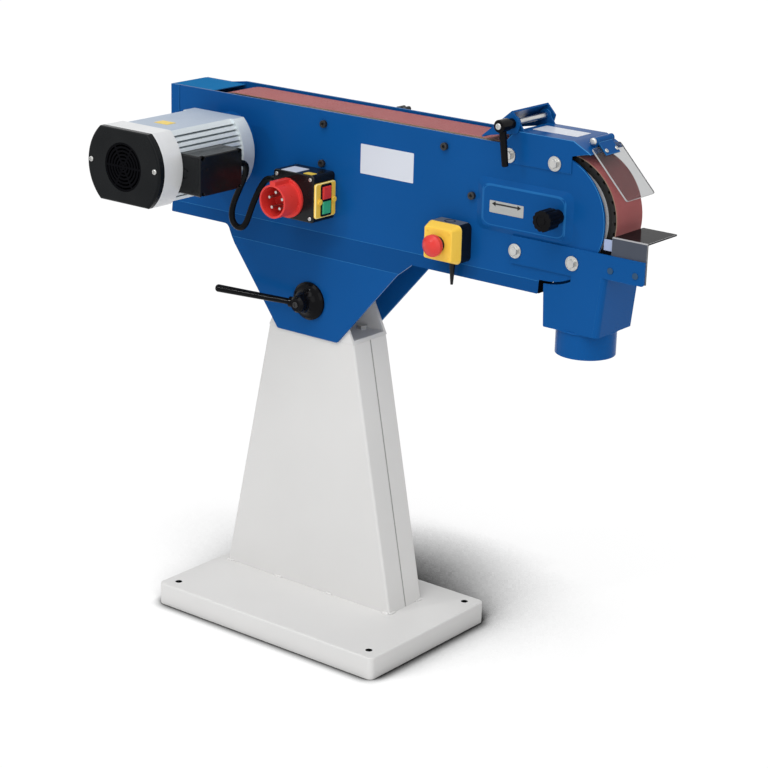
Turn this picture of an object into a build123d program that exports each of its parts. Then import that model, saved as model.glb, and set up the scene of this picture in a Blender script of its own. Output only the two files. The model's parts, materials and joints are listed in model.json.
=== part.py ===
"""Belt sanding machine: a tilting arm with an abrasive belt on a tapered sheet-metal stand.

Frame: origin at the centre of the base on the floor, +X towards the contact wheel,
-Y towards the motor (the front), +Z up. All sizes are millimetres.
"""

import os
from math import cos, hypot, pi, radians, sin, tan

from build123d import *

os.makedirs("parts", exist_ok=True)

# Fits shared by all pieces
shaft_fit = 0.05
running_gap = 0.3
seat_gap = 0.2
cut_over = 1.0
moulded_edge = 1.5
button_edge = 1.0

# Stand
base_length = 500.0
base_width = 330.0
base_height = 41.0
base_sheet = 4.0
base_corner = 10.0
base_edge = 3.0
anchor_hole = 12.0
anchor_inset = 26.0
anchor_spacer = 10.0
column_x = -35.0
column_y = 48.5
column_foot = 388.0
column_head = 195.0
column_depth = 95.0
column_sheet = 3.0
column_bend = 5.0
column_seam = 1.2
column_top_z = 524.0
saddle_sheet = 6.0
ear_top_width = 96.0
ear_over_pivot = 36.0
ear_corner = 14.0
pivot_x = column_x
pivot_z = 587.0
pivot_radius = 10.0
saddle_bolt_pitch_x = 110.0
saddle_bolt_pitch_y = 58.0
saddle_bolt_radius = 5.0
saddle_bolt_head = 8.5
saddle_bolt_height = 6.5
pivot_washer = 3.0
pivot_head = 12.5

# Tilt clamp lever
hub_radius = 34.0
hub_height = 38.0
hub_neck_radius = 15.0
lever_reach = 178.0
lever_radius = 7.0
lever_splay = 8.0
lever_spigot_radius = 4.0
lever_taper = 1.5
lever_set_back = 13.0
boss_wall = 2.5
boss_length = 6.0
spigot_inset = 2.0
hub_front_wall = 6.0
hub_edge = 4.0
hub_rim = 7.0
hub_flare = (5.0, 12.0)

# Arm of folded sheet
arm_sheet = 4.0
arm_width = 94.4
arm_left = -369.0
arm_top_z = 927.3
arm_bottom_z = 692.0
nose_x = 455.0
nose_radius = 105.8
heel_x = 443.0
heel_return = 40.0
crease_z = 713.0
fold_z = 672.0
rear_crease_z = 693.0
rear_fold_z = 655.0
cheek_bottom_z = 522.5
cheek_outline = [(-231.0, arm_bottom_z), (-213.0, 660.0), (-108.5, cheek_bottom_z),
                 (28.5, cheek_bottom_z), (156.0, 668.0), (186.0, arm_bottom_z)]
cheek_bends = [14.0, 20.0, 4.0, 4.0, 6.0, 4.0]
emboss_x = 409.0
emboss_z = 822.0
emboss_width = 164.0
emboss_height = 72.0
emboss_depth = 4.5
emboss_corner = 6.0
emboss_taper = 30.0
sheet_corner = 2.0
floor_z = 716.0
floor_sheet = 3.0
door_sill_z = 720.0
door_gap = 2.0
fence_rise = 5.2
fence_start_x = -307.0
fence_full_x = -272.0
fence_end_x = 318.0
hinge_places = [-220.0, 250.0]
hinge_length = 60.0
hinge_middle = 30.0
hinge_sheet = 1.5
hinge_leaf_height = 22.0
hinge_relief = 3.5
hinge_barrel_radius = 4.0
hinge_pin_radius = 2.2
hinge_stand_off = 0.1
door_knob_x = 73.5
door_knob_z = 919.0
door_knob_radius = 15.0
door_knob_length = 20.0
door_lobes = 6
door_lobe_radius = 4.5
door_collar = 5.5
door_stud_radius = 4.0
door_stud_length = 7.0
catch_nut_radius = 8.5
catch_nut_length = 4.4
catch_clearance = 0.6
catch_lug_margin = 4.0
stay_radius = 8.0
stay_bore_depth = 20.0
cap_sheet = 1.5
cap_lip = 18.0
cover_sheet = 2.0
cover_right_x = -273.0

# Belt and wheels
belt_width = 75.0
belt_thickness = 1.4
belt_gap = 0.5
belt_under_z = 927.1
belt_length = 2000.0
contact_radius = 100.0
contact_x = 476.3
drive_radius = 88.0
drive_rim_wall = 14.0
drive_hub_radius = 26.0
drive_web = 16.0
tyre_depth = 9.0
contact_rim_wall = 10.0
contact_hub_radius = 32.0
groove_count = 36
groove_width = 5.0
groove_depth = 5.0
groove_slant = 22.0
platen_left = -130.0
platen_right = 400.0
platen_width = 77.0
platen_thickness = 5.8
platen_flange = 26.0
bracket_sheet = 4.0
bracket_end = 70.0
bracket_inset = 10.0
platen_shift = 3.0
rim_draft = 3.0
hub_draft = 4.0
bearing_lip = 4.0

# Motor
motor_radius = 84.0
ring_radius = 84.5
fin_radius = 80.0
motor_flat = 61.0
ring_flat = 63.5
flange_length = 34.0
flange_neck = 58.0
shield_length = 28.0
housing_length = 182.0
ring_length = 44.0
ring_wall = 4.0
fan_cover_depth = 13.0
intake_radius = 42.0
fin_pitch = 8.6
fin_thickness = 5.4
housing_core = 68.0
stator_bore = 40.0
rotor_air_gap = 0.8
motor_shaft_radius = 12.0
motor_bearing_radius = 26.0
motor_bearing_width = 15.0
spigot_radius = 40.0
seat_wall = 10.0
near_lip = 5.0
far_wall = 6.0
shaft_clear = 2.0
rotor_end_gap = 14.0
fan_step = 8.0
shaft_washer = 3.0
shaft_washer_over = 6.0
terminal_low = -42.0
terminal_high = 27.0
terminal_far = 206.0
terminal_near = 110.0
terminal_pad_x = 64.0
terminal_reach = 123.0
terminal_lid = 10.0
terminal_wall = 3.0
terminal_corner = 4.0
fan_radius = 54.0
fan_width = 24.0
fan_blades = 8
fan_blade = 2.5
fan_blade_inset = 2.0
fan_disc = 3.0
fan_shaft_radius = 9.0
grille_rings = 6
grille_pitch = 6.4
grille_bar = 3.4
grille_spokes = 6

# Contact wheel carriage
axle_radius = 10.0
wheel_bearing_radius = 23.5
wheel_bearing_width = 14.0
wheel_bearing_inset = 3.0
axle_flange = 8.0
axle_shoulder = 3.5
axle_washer = 3.0
axle_washer_over = 4.0
carriage_plate = 5.2
carriage_left = 345.0
carriage_right = 483.0
carriage_height = 60.0
carriage_travel = 10.0
rail_lip = 2.0
rail_width = 12.0
plunger_radius = 5.0
plunger_y = 17.0
plunger_z = 822.0
spring_house_radius = 11.0
spring_house_length = 68.0
spring_foot_height = 34.0
spring_screw_depth = 8.0
spring_screw_inset = 13.0
spring_end_wall = 3.0
lug_thickness = 12.0
lug_height = 24.0
lug_cover = 2.0
knob_radius = 17.5
knob_length = 28.0
knob_collar = 17.8
knob_collar_radius = 12.0
knob_flute_radius = 2.6
knob_screw_radius = 5.0
knob_flutes = 12
knob_ring_outer = 10.5
knob_ring_inner = 6.0
knob_ring_depth = 1.5

# Guard, work stop and visor
guard_sheet = 2.0
guard_left = 362.0
guard_top_z = 951.0
guard_shoulder_x = 497.0
guard_tip_x = 530.0
guard_tip_z = 934.5
guard_notch_x = 495.0
guard_skirt_z = 898.0
guard_slope = 42.6
guard_drop = 1.3
guard_notch_drop = 1.0
belt_headroom = 2.0
rod_x = 380.0
rod_z = 963.0
rod_radius = 5.0
rod_head = 5.0
rod_head_over = 3.0
rod_lug_radius = 11.0
rod_lug_sheet = 3.0
rod_lug_foot_left = 371.0
rod_lug_foot_right = 400.0
stop_sheet = 3.0
stop_tip_x = 322.0
stop_tip_z = 935.0
stop_top_x = 379.0
stop_top_z = 983.0
stop_heel_x = 396.0
stop_heel_back = 5.0
stop_heel_rise = 2.0
stop_heel_drop = 15.0
stop_corner = 3.0
clamp_hub_radius = 10.5
clamp_hub_length = 36.0
clamp_arm_length = 66.0
clamp_arm_radius = 6.0
clamp_arm_lean = 7.4
clamp_neck = 14.0
clamp_neck_step = 2.0
clamp_front_wall = 6.0
clamp_arm_taper = 0.5
visor_width = 82.0
visor_length = 101.0
visor_thickness = 3.0
visor_slope = 46.2
visor_top_x = 527.0
visor_top_z = 942.5
visor_pin_x = 519.0
visor_pin_z = 950.5
visor_pin_radius = 3.0
visor_barrel_radius = 6.0
visor_barrel_length = 39.0
visor_lug_width = 6.0
visor_leaf = 2.5
visor_leaf_length = 18.0
visor_corner = 4.0
visor_lug_heel = 9.0
visor_lug_toe = 12.5
visor_pin_head = 4.0
visor_pin_over = 3.0
visor_pin_tail = 2.0

# Dust hood and work rest
hood_sheet = 3.0
hood_slot = 4.0
hood_slot_end_x = 505.5
hood_strip_left = 388.0
hood_strip_right = 641.0
hood_strip_top = 780.0
hood_strip_low = 734.0
hood_flange_low = 741.0
hood_left_x = 454.0
hood_left_top = 708.0
hood_right_top_x = 571.0
hood_right_foot_x = 561.0
hood_left_foot_x = 457.0
hood_foot_z = 640.0
hood_rear_top = 716.0
hood_rear_inset = 2.0
outlet_x = 509.0
outlet_radius = 50.0
outlet_wall = 2.0
outlet_length = 43.5
rest_sheet = 3.0
rest_top_z = 810.0
rest_left_x = 579.0
rest_right_x = 642.0
rest_depth = 88.0
rest_leg_left = 577.0
rest_foot_left = 556.0
rest_foot_z = 743.0
rest_step_z = 776.0
rest_screws = [(579.0, 756.0), (625.0, 756.0)]
rest_screw_radius = 4.0
rest_travel = 14.0
rest_clear = 0.1
rest_step = 8.0
rest_head = 1.5
rest_head_radius = 5.2
rest_nut_radius = 7.2
rest_nut_end = 6.0

# Switch box and emergency stop
switch_x = -32.5
switch_z = 784.5
switch_width = 91.0
switch_height = 83.0
switch_depth = 56.0
switch_wall = 3.0
switch_corner = 6.0
inlet_x = -43.5
inlet_z = 779.5
inlet_flange_radius = 34.0
inlet_radius = 29.0
inlet_length = 42.0
inlet_wall = 3.5
inlet_flange = 5.0
inlet_key = 12.0
inlet_pin_count = 5
inlet_pin_circle = 15.0
inlet_pin_radius = 2.5
inlet_pin_length = 28.0
inlet_pin_turn = 18.0
plate_height = 61.0
plate_sheet = 4.0
plate_margin = 1.0
plate_lift = 8.0
plate_corner = 5.0
switch_window = 2.0
button_travel = 3.0
button_width = 21.0
button_height = 22.0
button_gap = 2.0
stop_button_proud = 1.5
start_button_proud = 0.5
estop_x = 271.0
estop_z = 752.0
estop_width = 70.0
estop_height = 67.0
estop_base_depth = 27.0
estop_lid_depth = 19.0
estop_corner = 10.0
estop_wall = 3.0
estop_taper = 20.0
estop_bevel = 1.0
estop_bush = 2.0
estop_stem_radius = 9.0
estop_collar_radius = 14.0
estop_collar_depth = 4.0
sleeve_radius = 5.5
sleeve_tip_radius = 2.3
sleeve_length = 40.0
sleeve_shift = 8.0
mushroom_radius = 18.5
mushroom_out = 25.0
mushroom_crown = 8.0
mushroom_travel = 4.0
mushroom_edge = 2.0
stem_inset = 2.0

# Fasteners
cover_bolt_flange = 11.5
cover_bolt_radius = 4.0
cover_bolt_sheet = 2.0
cover_bolt_head = 6.5
cover_bolt_height = 5.0
upper_cover_bolts = [(376.0, 910.0), (464.0, 910.0)]
lower_cover_bolts = [(396.0, 755.5), (507.0, 755.0)]
stay_place = (-14.5, 836.0)
platen_screw_places = [(-12.0, 905.0), (246.0, 905.0)]
spring_screw_place = (305.0, 832.0)
cap_screw_radius = 4.0
cap_screw_head = 6.5
cap_screw_height = 6.0
socket_radius = 2.6
socket_depth = 3.5
screw_end_gap = 2.0
screw_end_over = 3.0

# Motor cable from the terminal box to the switch box, and its two glands
cable_radius = 5.5
gland_radius = 9.5
gland_length = 15.0
gland_nut = 6.0
gland_step = 1.2
gland_taper = 6.0
bend_share = 0.45
motor_gland_x = -124.5
motor_gland_z = 833.0
switch_gland_y = -38.5
switch_gland_z = 802.0
cable_route = [(-124.5, -93.7, 833.0), (-124.5, -80.0, 833.0), (-126.0, -70.0, 823.0),
               (-133.0, -64.5, 808.0), (-145.0, -60.5, 789.5), (-157.5, -57.5, 770.0),
               (-168.0, -55.5, 751.0), (-174.5, -54.0, 733.0), (-174.0, -52.5, 716.0),
               (-165.0, -51.0, 706.5), (-153.0, -50.0, 706.5), (-144.5, -49.0, 716.0),
               (-138.5, -47.5, 733.5), (-131.5, -45.5, 754.0), (-123.0, -43.0, 774.0),
               (-116.0, -41.0, 787.5), (-109.0, -39.5, 798.0), (-101.0, -38.5, 802.0),
               (-93.0, -38.5, 802.0)]

# Places worked out from the driving sizes
arm_y = column_y
front_y = arm_y - arm_width / 2
rear_y = arm_y + arm_width / 2
front_inner_y = front_y + arm_sheet
rear_inner_y = rear_y - arm_sheet
column_front_y = column_y - column_depth / 2
column_rear_y = column_y + column_depth / 2
cheek_front_y = column_front_y - running_gap - arm_sheet
cheek_rear_y = column_rear_y + running_gap + arm_sheet
nose_z = arm_top_z - nose_radius
nose_right = nose_x + nose_radius
belt_front_y = arm_y - belt_width / 2
belt_rear_y = arm_y + belt_width / 2
contact_z = belt_under_z - belt_gap - contact_radius
drive_z = belt_under_z - belt_gap - drive_radius
belt_mid = belt_gap + belt_thickness / 2
wheel_drop = contact_radius - drive_radius
belt_bends = pi * (contact_radius + drive_radius + 2 * belt_mid)
wheel_spacing = (belt_length - belt_bends) / 2 - wheel_drop ** 2 / (belt_length - belt_bends)
drive_x = contact_x - wheel_spacing
flange_face_y = front_y - flange_length
housing_face_y = flange_face_y - housing_length
ring_face_y = housing_face_y - ring_length
door_low_z = door_sill_z + door_gap
hinge_y = rear_y + hinge_barrel_radius + hinge_stand_off
hinge_z = door_sill_z + door_gap / 2
hood_front_y = front_y - hood_sheet
guard_front_y = front_y - guard_sheet


def upright(y):
    """Plane that faces the front at depth y: X to the right, Z up, extrusions towards the front."""
    return Plane(origin=(0, y, 0), x_dir=(1, 0, 0), z_dir=(0, -1, 0))


def half_section(x, z):
    """Plane for a half section about a Y axis at (x, z): first the radius, then the depth y."""
    return Plane(origin=(x, 0, z))


def y_axis(x, z):
    """Axis along Y through (x, z)."""
    return Axis((x, 0, z), (0, 1, 0))


def turned(x, z, section):
    """A solid turned about the Y axis at (x, z) from its half section of (radius, y) points."""
    with BuildPart() as solid:
        with BuildSketch(half_section(x, z)):
            with BuildLine():
                Polyline(*section, close=True)
            make_face()
        revolve(axis=y_axis(x, z))
    return solid.part


def ring_section(inner, outer, y_low, y_high):
    """Half section of a plain ring."""
    return [(inner, y_low), (outer, y_low), (outer, y_high), (inner, y_high)]


# Base tray: folded sheet, open below, with four anchor holes through spacer tubes
with BuildPart() as base_tray:
    with BuildSketch():
        RectangleRounded(base_length, base_width, base_corner)
    extrude(amount=base_height)
    fillet(base_tray.faces().sort_by(Axis.Z)[-1].edges(), base_edge)
    with BuildSketch():
        RectangleRounded(base_length - 2 * base_sheet, base_width - 2 * base_sheet, base_corner - base_sheet)
    extrude(amount=base_height - base_sheet, mode=Mode.SUBTRACT)
    with BuildSketch():
        with GridLocations(base_length - 2 * anchor_inset, base_width - 2 * anchor_inset, 2, 2):
            Circle(anchor_spacer)
    extrude(amount=base_height - base_sheet / 2)
    with BuildSketch():
        with GridLocations(base_length - 2 * anchor_inset, base_width - 2 * anchor_inset, 2, 2):
            Circle(anchor_hole / 2)
    extrude(amount=base_height, mode=Mode.SUBTRACT)
base_tray.part.label = "base_tray"
export_step(base_tray.part, "parts/base_tray.step")


# Column: two folded shells that taper in X only and meet in a seam on the narrow sides
def column_half(side):
    """The front (-1) or rear (+1) shell of the column."""
    with BuildPart() as half:
        for wall in (0, column_sheet):
            for z, width in ((base_height, column_foot), (column_top_z, column_head)):
                with BuildSketch(Plane.XY.offset(z)):
                    with Locations((column_x, column_y)):
                        RectangleRounded(width - 2 * wall, column_depth - 2 * wall, column_bend - wall)
            loft(mode=Mode.SUBTRACT if wall else Mode.ADD)
        other_side_y = column_y - side * (column_depth - column_seam) / 2
        with Locations((column_x, other_side_y, (base_height + column_top_z) / 2)):
            Box(column_foot + base_edge, column_depth, column_top_z, mode=Mode.SUBTRACT)
    return half.part


column_front_half = column_half(-1)
column_front_half.label = "column_front_half"
export_step(column_front_half, "parts/column_front_half.step")

column_rear_half = column_half(1)
column_rear_half.label = "column_rear_half"
export_step(column_rear_half, "parts/column_rear_half.step")

# Saddle: U bracket on the column with two ears that carry the pivot bolt
ear_top_z = pivot_z + ear_over_pivot
saddle_floor_z = column_top_z + saddle_sheet
with BuildPart() as saddle:
    with BuildSketch(upright(column_rear_y)):
        with BuildLine():
            FilletPolyline((column_x - column_head / 2, column_top_z),
                           (pivot_x - ear_top_width / 2, ear_top_z),
                           (pivot_x + ear_top_width / 2, ear_top_z),
                           (column_x + column_head / 2, column_top_z),
                           radius=[0, ear_corner, ear_corner, 0], close=True)
        make_face()
    extrude(amount=column_depth)
    with Locations((column_x, column_y, saddle_floor_z)):
        Box(column_head, column_depth - 2 * saddle_sheet, ear_top_z, mode=Mode.SUBTRACT,
            align=(Align.CENTER, Align.CENTER, Align.MIN))
    with BuildSketch(upright(column_rear_y)):
        with Locations((pivot_x, pivot_z)):
            Circle(pivot_radius + shaft_fit)
    extrude(amount=column_depth, mode=Mode.SUBTRACT)
    with Locations((column_x, column_y, saddle_floor_z)):
        with GridLocations(saddle_bolt_pitch_x, saddle_bolt_pitch_y, 2, 2):
            Hole(saddle_bolt_radius + shaft_fit, depth=2 * saddle_sheet)
saddle.part.label = "saddle"
export_step(saddle.part, "parts/saddle.step")

with BuildPart() as saddle_bolts:
    with BuildSketch(Plane.XY.offset(saddle_floor_z)):
        with Locations((column_x, column_y)):
            with GridLocations(saddle_bolt_pitch_x, saddle_bolt_pitch_y, 2, 2):
                RegularPolygon(saddle_bolt_head, 6, major_radius=False)
    extrude(amount=saddle_bolt_height)
    with BuildSketch(Plane.XY.offset(saddle_floor_z)):
        with Locations((column_x, column_y)):
            with GridLocations(saddle_bolt_pitch_x, saddle_bolt_pitch_y, 2, 2):
                Circle(saddle_bolt_radius)
    extrude(amount=-2 * saddle_sheet)
saddle_bolts.part.label = "saddle_bolts"
export_step(saddle_bolts.part, "parts/saddle_bolts.step")

# Pivot bolt through both ears and both cheeks, with its washer and head at the rear
hub_seat_y = cheek_front_y - running_gap
hub_front_y = hub_seat_y - hub_height
bolt_front_y = hub_front_y + hub_front_wall
washer_y = cheek_rear_y + running_gap
with BuildPart() as pivot_bolt:
    with BuildSketch(upright(washer_y)):
        with Locations((pivot_x, pivot_z)):
            Circle(2 * pivot_radius)
    extrude(amount=-pivot_washer)
    with BuildSketch(upright(washer_y + pivot_washer)):
        with Locations((pivot_x, pivot_z)):
            RegularPolygon(1.5 * pivot_radius, 6, major_radius=False)
    extrude(amount=-pivot_head)
    with BuildSketch(upright(washer_y)):
        with Locations((pivot_x, pivot_z)):
            Circle(pivot_radius)
    extrude(amount=washer_y - bolt_front_y)
pivot_bolt.part.label = "pivot_bolt"
export_step(pivot_bolt.part, "parts/pivot_bolt.step")

# Tilt clamp lever: domed hub on the stud and a straight rod screwed into its side
boss_y = hub_front_y + lever_set_back
boss_reach = hub_neck_radius + boss_length
spigot_tip = pivot_radius + spigot_inset
bore_end_y = bolt_front_y - running_gap
with BuildPart() as tilt_hub:
    with BuildSketch(half_section(pivot_x, pivot_z)):
        with BuildLine():
            hub_line = Polyline((0, hub_front_y), (hub_neck_radius - hub_edge, hub_front_y),
                                (hub_neck_radius, hub_front_y + hub_edge),
                                (hub_neck_radius, boss_y + hub_edge))
            flare = ThreePointArc(hub_line @ 1, (hub_neck_radius + hub_flare[0], hub_seat_y - hub_flare[1]),
                                  (hub_radius - hub_edge, hub_seat_y - hub_rim))
            Polyline(flare @ 1, (hub_radius, hub_seat_y - hub_edge), (hub_radius, hub_seat_y),
                     (pivot_radius + shaft_fit, hub_seat_y), (pivot_radius + shaft_fit, bore_end_y),
                     (0, bore_end_y), hub_line @ 0)
        make_face()
    revolve(axis=y_axis(pivot_x, pivot_z))
    rod_plane = Plane(origin=(pivot_x, boss_y, pivot_z), x_dir=(0, 0, 1),
                      z_dir=(-cos(radians(lever_splay)), -sin(radians(lever_splay)), 0))
    with BuildSketch(rod_plane.offset(spigot_tip - spigot_inset / 2)):
        Circle(lever_radius + boss_wall)
    extrude(amount=boss_reach - spigot_tip + spigot_inset / 2)
    with BuildSketch(rod_plane.offset(spigot_tip - running_gap)):
        Circle(lever_spigot_radius + shaft_fit)
    extrude(amount=hub_neck_radius, mode=Mode.SUBTRACT)
tilt_hub.part.label = "tilt_hub"
export_step(tilt_hub.part, "parts/tilt_hub.step")

with BuildPart() as tilt_lever_rod:
    with BuildSketch(rod_plane.offset(boss_reach)):
        Circle(lever_radius - lever_taper)
    with BuildSketch(rod_plane.offset(lever_reach)):
        Circle(lever_radius)
    loft()
    fillet(tilt_lever_rod.faces().sort_by(Axis.X)[0].edges(), lever_radius - lever_taper)
    with BuildSketch(rod_plane.offset(spigot_tip)):
        Circle(lever_spigot_radius)
    extrude(amount=boss_reach - spigot_tip)
tilt_lever_rod.part.label = "tilt_lever_rod"
export_step(tilt_lever_rod.part, "parts/tilt_lever_rod.step")

# Arm front panel: sheet stepped out to a cheek, with a half-round nose, an embossed field
# whose hollow side takes the tension carriage, and the two rails that hold the carriage in
carriage_front_y = front_inner_y - emboss_depth + running_gap
carriage_back_y = carriage_front_y + carriage_plate
rail_step_y = carriage_back_y + seat_gap
rail_top_y = rail_step_y + rail_lip
rail_foot = emboss_height / 2 - arm_sheet + running_gap
rail_inner = carriage_height / 2 - rail_lip
rail_outer = rail_foot + rail_width
with BuildPart() as front_panel:
    with BuildSketch(Plane.YZ.offset(arm_left)):
        with BuildLine():
            Polyline((front_y, arm_top_z), (front_y, crease_z), (cheek_front_y, fold_z),
                     (cheek_front_y, cheek_bottom_z), (cheek_front_y + arm_sheet, cheek_bottom_z),
                     (cheek_front_y + arm_sheet, fold_z), (front_inner_y, crease_z),
                     (front_inner_y, arm_top_z),
                     close=True)
        make_face()
    extrude(amount=nose_right - arm_left)
    with BuildSketch(upright(arm_y)):
        with BuildLine():
            edge_line = FilletPolyline((nose_x, arm_top_z), (arm_left, arm_top_z), (arm_left, arm_bottom_z),
                                       *cheek_outline, (heel_x, arm_bottom_z),
                                       (heel_x, nose_z - nose_radius),
                                       (nose_x, nose_z - nose_radius),
                                       radius=[sheet_corner, sheet_corner, *cheek_bends, sheet_corner,
                                               sheet_corner])
            ThreePointArc(edge_line @ 1, (nose_right, nose_z), edge_line @ 0)
        make_face()
    extrude(amount=arm_width, mode=Mode.INTERSECT)
    with Locations((heel_x, front_y + arm_sheet / 4, arm_bottom_z)):
        Box(arm_sheet, heel_return, floor_z - seat_gap - arm_bottom_z,
            align=(Align.MAX, Align.MIN, Align.MIN))
    with BuildSketch(upright(front_y)):
        with Locations((emboss_x, emboss_z)):
            RectangleRounded(emboss_width, emboss_height, emboss_corner)
    extrude(amount=emboss_depth, taper=emboss_taper)
    with BuildSketch(upright(front_inner_y)):
        with Locations((emboss_x, emboss_z)):
            RectangleRounded(emboss_width - 2 * arm_sheet, emboss_height - 2 * arm_sheet, emboss_corner / 2)
    extrude(amount=emboss_depth, mode=Mode.SUBTRACT)
    for side in (-1, 1):
        with BuildSketch(Plane.YZ.offset(emboss_x - emboss_width / 2 + arm_sheet)):
            with BuildLine():
                Polyline((front_inner_y, emboss_z + side * rail_outer),
                         (rail_top_y, emboss_z + side * rail_outer),
                         (rail_top_y, emboss_z + side * rail_inner),
                         (rail_step_y, emboss_z + side * rail_inner),
                         (rail_step_y, emboss_z + side * rail_foot),
                         (front_inner_y, emboss_z + side * rail_foot), close=True)
            make_face()
        extrude(amount=emboss_width - 2 * arm_sheet)
    with BuildSketch(upright(rail_top_y + cut_over)):
        with Locations((drive_x, drive_z)):
            Circle(spigot_radius + shaft_fit)
        with Locations((contact_x, contact_z)):
            Circle(knob_screw_radius + shaft_fit)
        with Locations((pivot_x, pivot_z)):
            Circle(pivot_radius + shaft_fit)
        with Locations(stay_place, spring_screw_place, *platen_screw_places):
            Circle(cap_screw_radius + shaft_fit)
        with Locations(*upper_cover_bolts, *lower_cover_bolts):
            Circle(cover_bolt_radius + shaft_fit)
    extrude(amount=arm_width, mode=Mode.SUBTRACT)
front_panel.part.label = "front_panel"
export_step(front_panel.part, "parts/front_panel.step")

# Arm rear frame: the floor, the rear cheek and a low sill below the belt-change door
with BuildPart() as rear_frame:
    with BuildSketch(Plane.YZ.offset(arm_left)):
        with BuildLine():
            Polyline((rear_y, door_sill_z), (rear_y, rear_crease_z), (cheek_rear_y, rear_fold_z),
                     (cheek_rear_y, cheek_bottom_z), (cheek_rear_y - arm_sheet, cheek_bottom_z),
                     (cheek_rear_y - arm_sheet, rear_fold_z), (rear_inner_y, rear_crease_z),
                     (rear_inner_y, door_sill_z), close=True)
        make_face()
    extrude(amount=heel_x - arm_left)
    with BuildSketch(upright(arm_y)):
        with BuildLine():
            FilletPolyline((heel_x, door_sill_z), (arm_left, door_sill_z), (arm_left, arm_bottom_z),
                           *cheek_outline, (heel_x, arm_bottom_z),
                           radius=[0, 0, sheet_corner, *cheek_bends, sheet_corner], close=True)
        make_face()
    extrude(amount=-arm_width, mode=Mode.INTERSECT)
    with BuildSketch(upright(arm_y)):
        with Locations((pivot_x, pivot_z)):
            Circle(pivot_radius + shaft_fit)
    extrude(amount=-arm_width, mode=Mode.SUBTRACT)
    with Locations(((arm_left + heel_x) / 2, arm_y, floor_z + floor_sheet / 2)):
        Box(heel_x - arm_left, arm_width - 2 * arm_sheet, floor_sheet)
rear_frame.part.label = "rear_frame"
export_step(rear_frame.part, "parts/rear_frame.step")

# Left end cap: end wall, lip over the front panel, stop flange behind the door and top cover
cap_flange_y = rear_inner_y - running_gap
with BuildPart() as end_cap:
    with BuildSketch(Plane.XY.offset(floor_z + floor_sheet)):
        with BuildLine():
            Polyline((arm_left + cap_lip, front_y), (arm_left, front_y),
                     (arm_left, cap_flange_y - cap_sheet),
                     (arm_left + cap_lip, cap_flange_y - cap_sheet), (arm_left + cap_lip, cap_flange_y),
                     (arm_left - cap_sheet, cap_flange_y), (arm_left - cap_sheet, front_y - cap_sheet),
                     (arm_left + cap_lip, front_y - cap_sheet), close=True)
        make_face()
    extrude(amount=arm_top_z - floor_z - floor_sheet)
    with BuildSketch(Plane.XY.offset(arm_top_z)):
        with Locations(((arm_left + cover_right_x) / 2, (front_inner_y + seat_gap + cap_flange_y) / 2)):
            Rectangle(cover_right_x - arm_left, cap_flange_y - front_inner_y - seat_gap)
    extrude(amount=-cover_sheet)
end_cap.part.label = "end_cap"
export_step(end_cap.part, "parts/end_cap.step")

# Belt-change door: rear wall with the raised fence, hinged on the sill
door_nose_x = nose_x + (nose_radius ** 2 - (nose_z - door_low_z) ** 2) ** 0.5
with BuildPart() as rear_door:
    with BuildSketch(upright(rear_y)):
        with BuildLine():
            door_line = Polyline((door_nose_x, door_low_z), (arm_left, door_low_z), (arm_left, arm_top_z),
                                 (fence_start_x, arm_top_z), (fence_full_x, arm_top_z + fence_rise),
                                 (fence_end_x, arm_top_z + fence_rise),
                                 (fence_end_x + fence_rise, arm_top_z),
                                 (nose_x, arm_top_z))
            ThreePointArc(door_line @ 1, (nose_right, nose_z), door_line @ 0)
        make_face()
    extrude(amount=arm_sheet)
    with BuildSketch(upright(rear_y)):
        with Locations((door_knob_x, door_knob_z)):
            Circle(door_stud_radius + shaft_fit)
    extrude(amount=arm_sheet, mode=Mode.SUBTRACT)
rear_door.part.label = "rear_door"
export_step(rear_door.part, "parts/rear_door.step")


# Door hinges: the frame leaf carries the outer knuckles and the pin, the door leaf the middle knuckle
def hinge_leaf(x, side, knuckles, barrel_bore):
    """One leaf on the frame (-1) or the door (+1), with knuckles given as (start, length) along X."""
    leaf_mid_z = hinge_z + side * (hinge_relief + hinge_leaf_height) / 2
    with BuildPart() as leaf:
        with BuildSketch(Plane.YZ.offset(x - hinge_length / 2)):
            with Locations((rear_y + hinge_sheet / 2, leaf_mid_z)):
                Rectangle(hinge_sheet, hinge_leaf_height - hinge_relief)
        extrude(amount=hinge_length)
        for start, length in knuckles:
            with BuildSketch(Plane.YZ.offset(x + start)):
                with Locations((hinge_y, hinge_z)):
                    Circle(hinge_barrel_radius)
                with Locations((rear_y + hinge_sheet / 2 + shaft_fit, hinge_z + side * hinge_relief / 2)):
                    Rectangle(hinge_sheet - 2 * shaft_fit, hinge_relief)
                if barrel_bore:
                    with Locations((hinge_y, hinge_z)):
                        Circle(barrel_bore, mode=Mode.SUBTRACT)
            extrude(amount=length)
        if not barrel_bore:
            with BuildSketch(Plane.YZ.offset(x - hinge_length / 2)):
                with Locations((hinge_y, hinge_z)):
                    Circle(hinge_pin_radius)
            extrude(amount=hinge_length)
    return leaf.part


outer_knuckle = (hinge_length - hinge_middle) / 2 - running_gap
outer_knuckles = [(-hinge_length / 2, outer_knuckle), (hinge_length / 2 - outer_knuckle, outer_knuckle)]
middle_knuckle = [(-hinge_middle / 2, hinge_middle)]
hinge_frame_leaves = Compound(children=[hinge_leaf(x, -1, outer_knuckles, 0) for x in hinge_places])
hinge_frame_leaves.label = "hinge_frame_leaves"
export_step(hinge_frame_leaves, "parts/hinge_frame_leaves.step")

hinge_bore = hinge_pin_radius + shaft_fit
hinge_door_leaves = Compound(children=[hinge_leaf(x, 1, middle_knuckle, hinge_bore) for x in hinge_places])
hinge_door_leaves.label = "hinge_door_leaves"
export_step(hinge_door_leaves, "parts/hinge_door_leaves.step")

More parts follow.
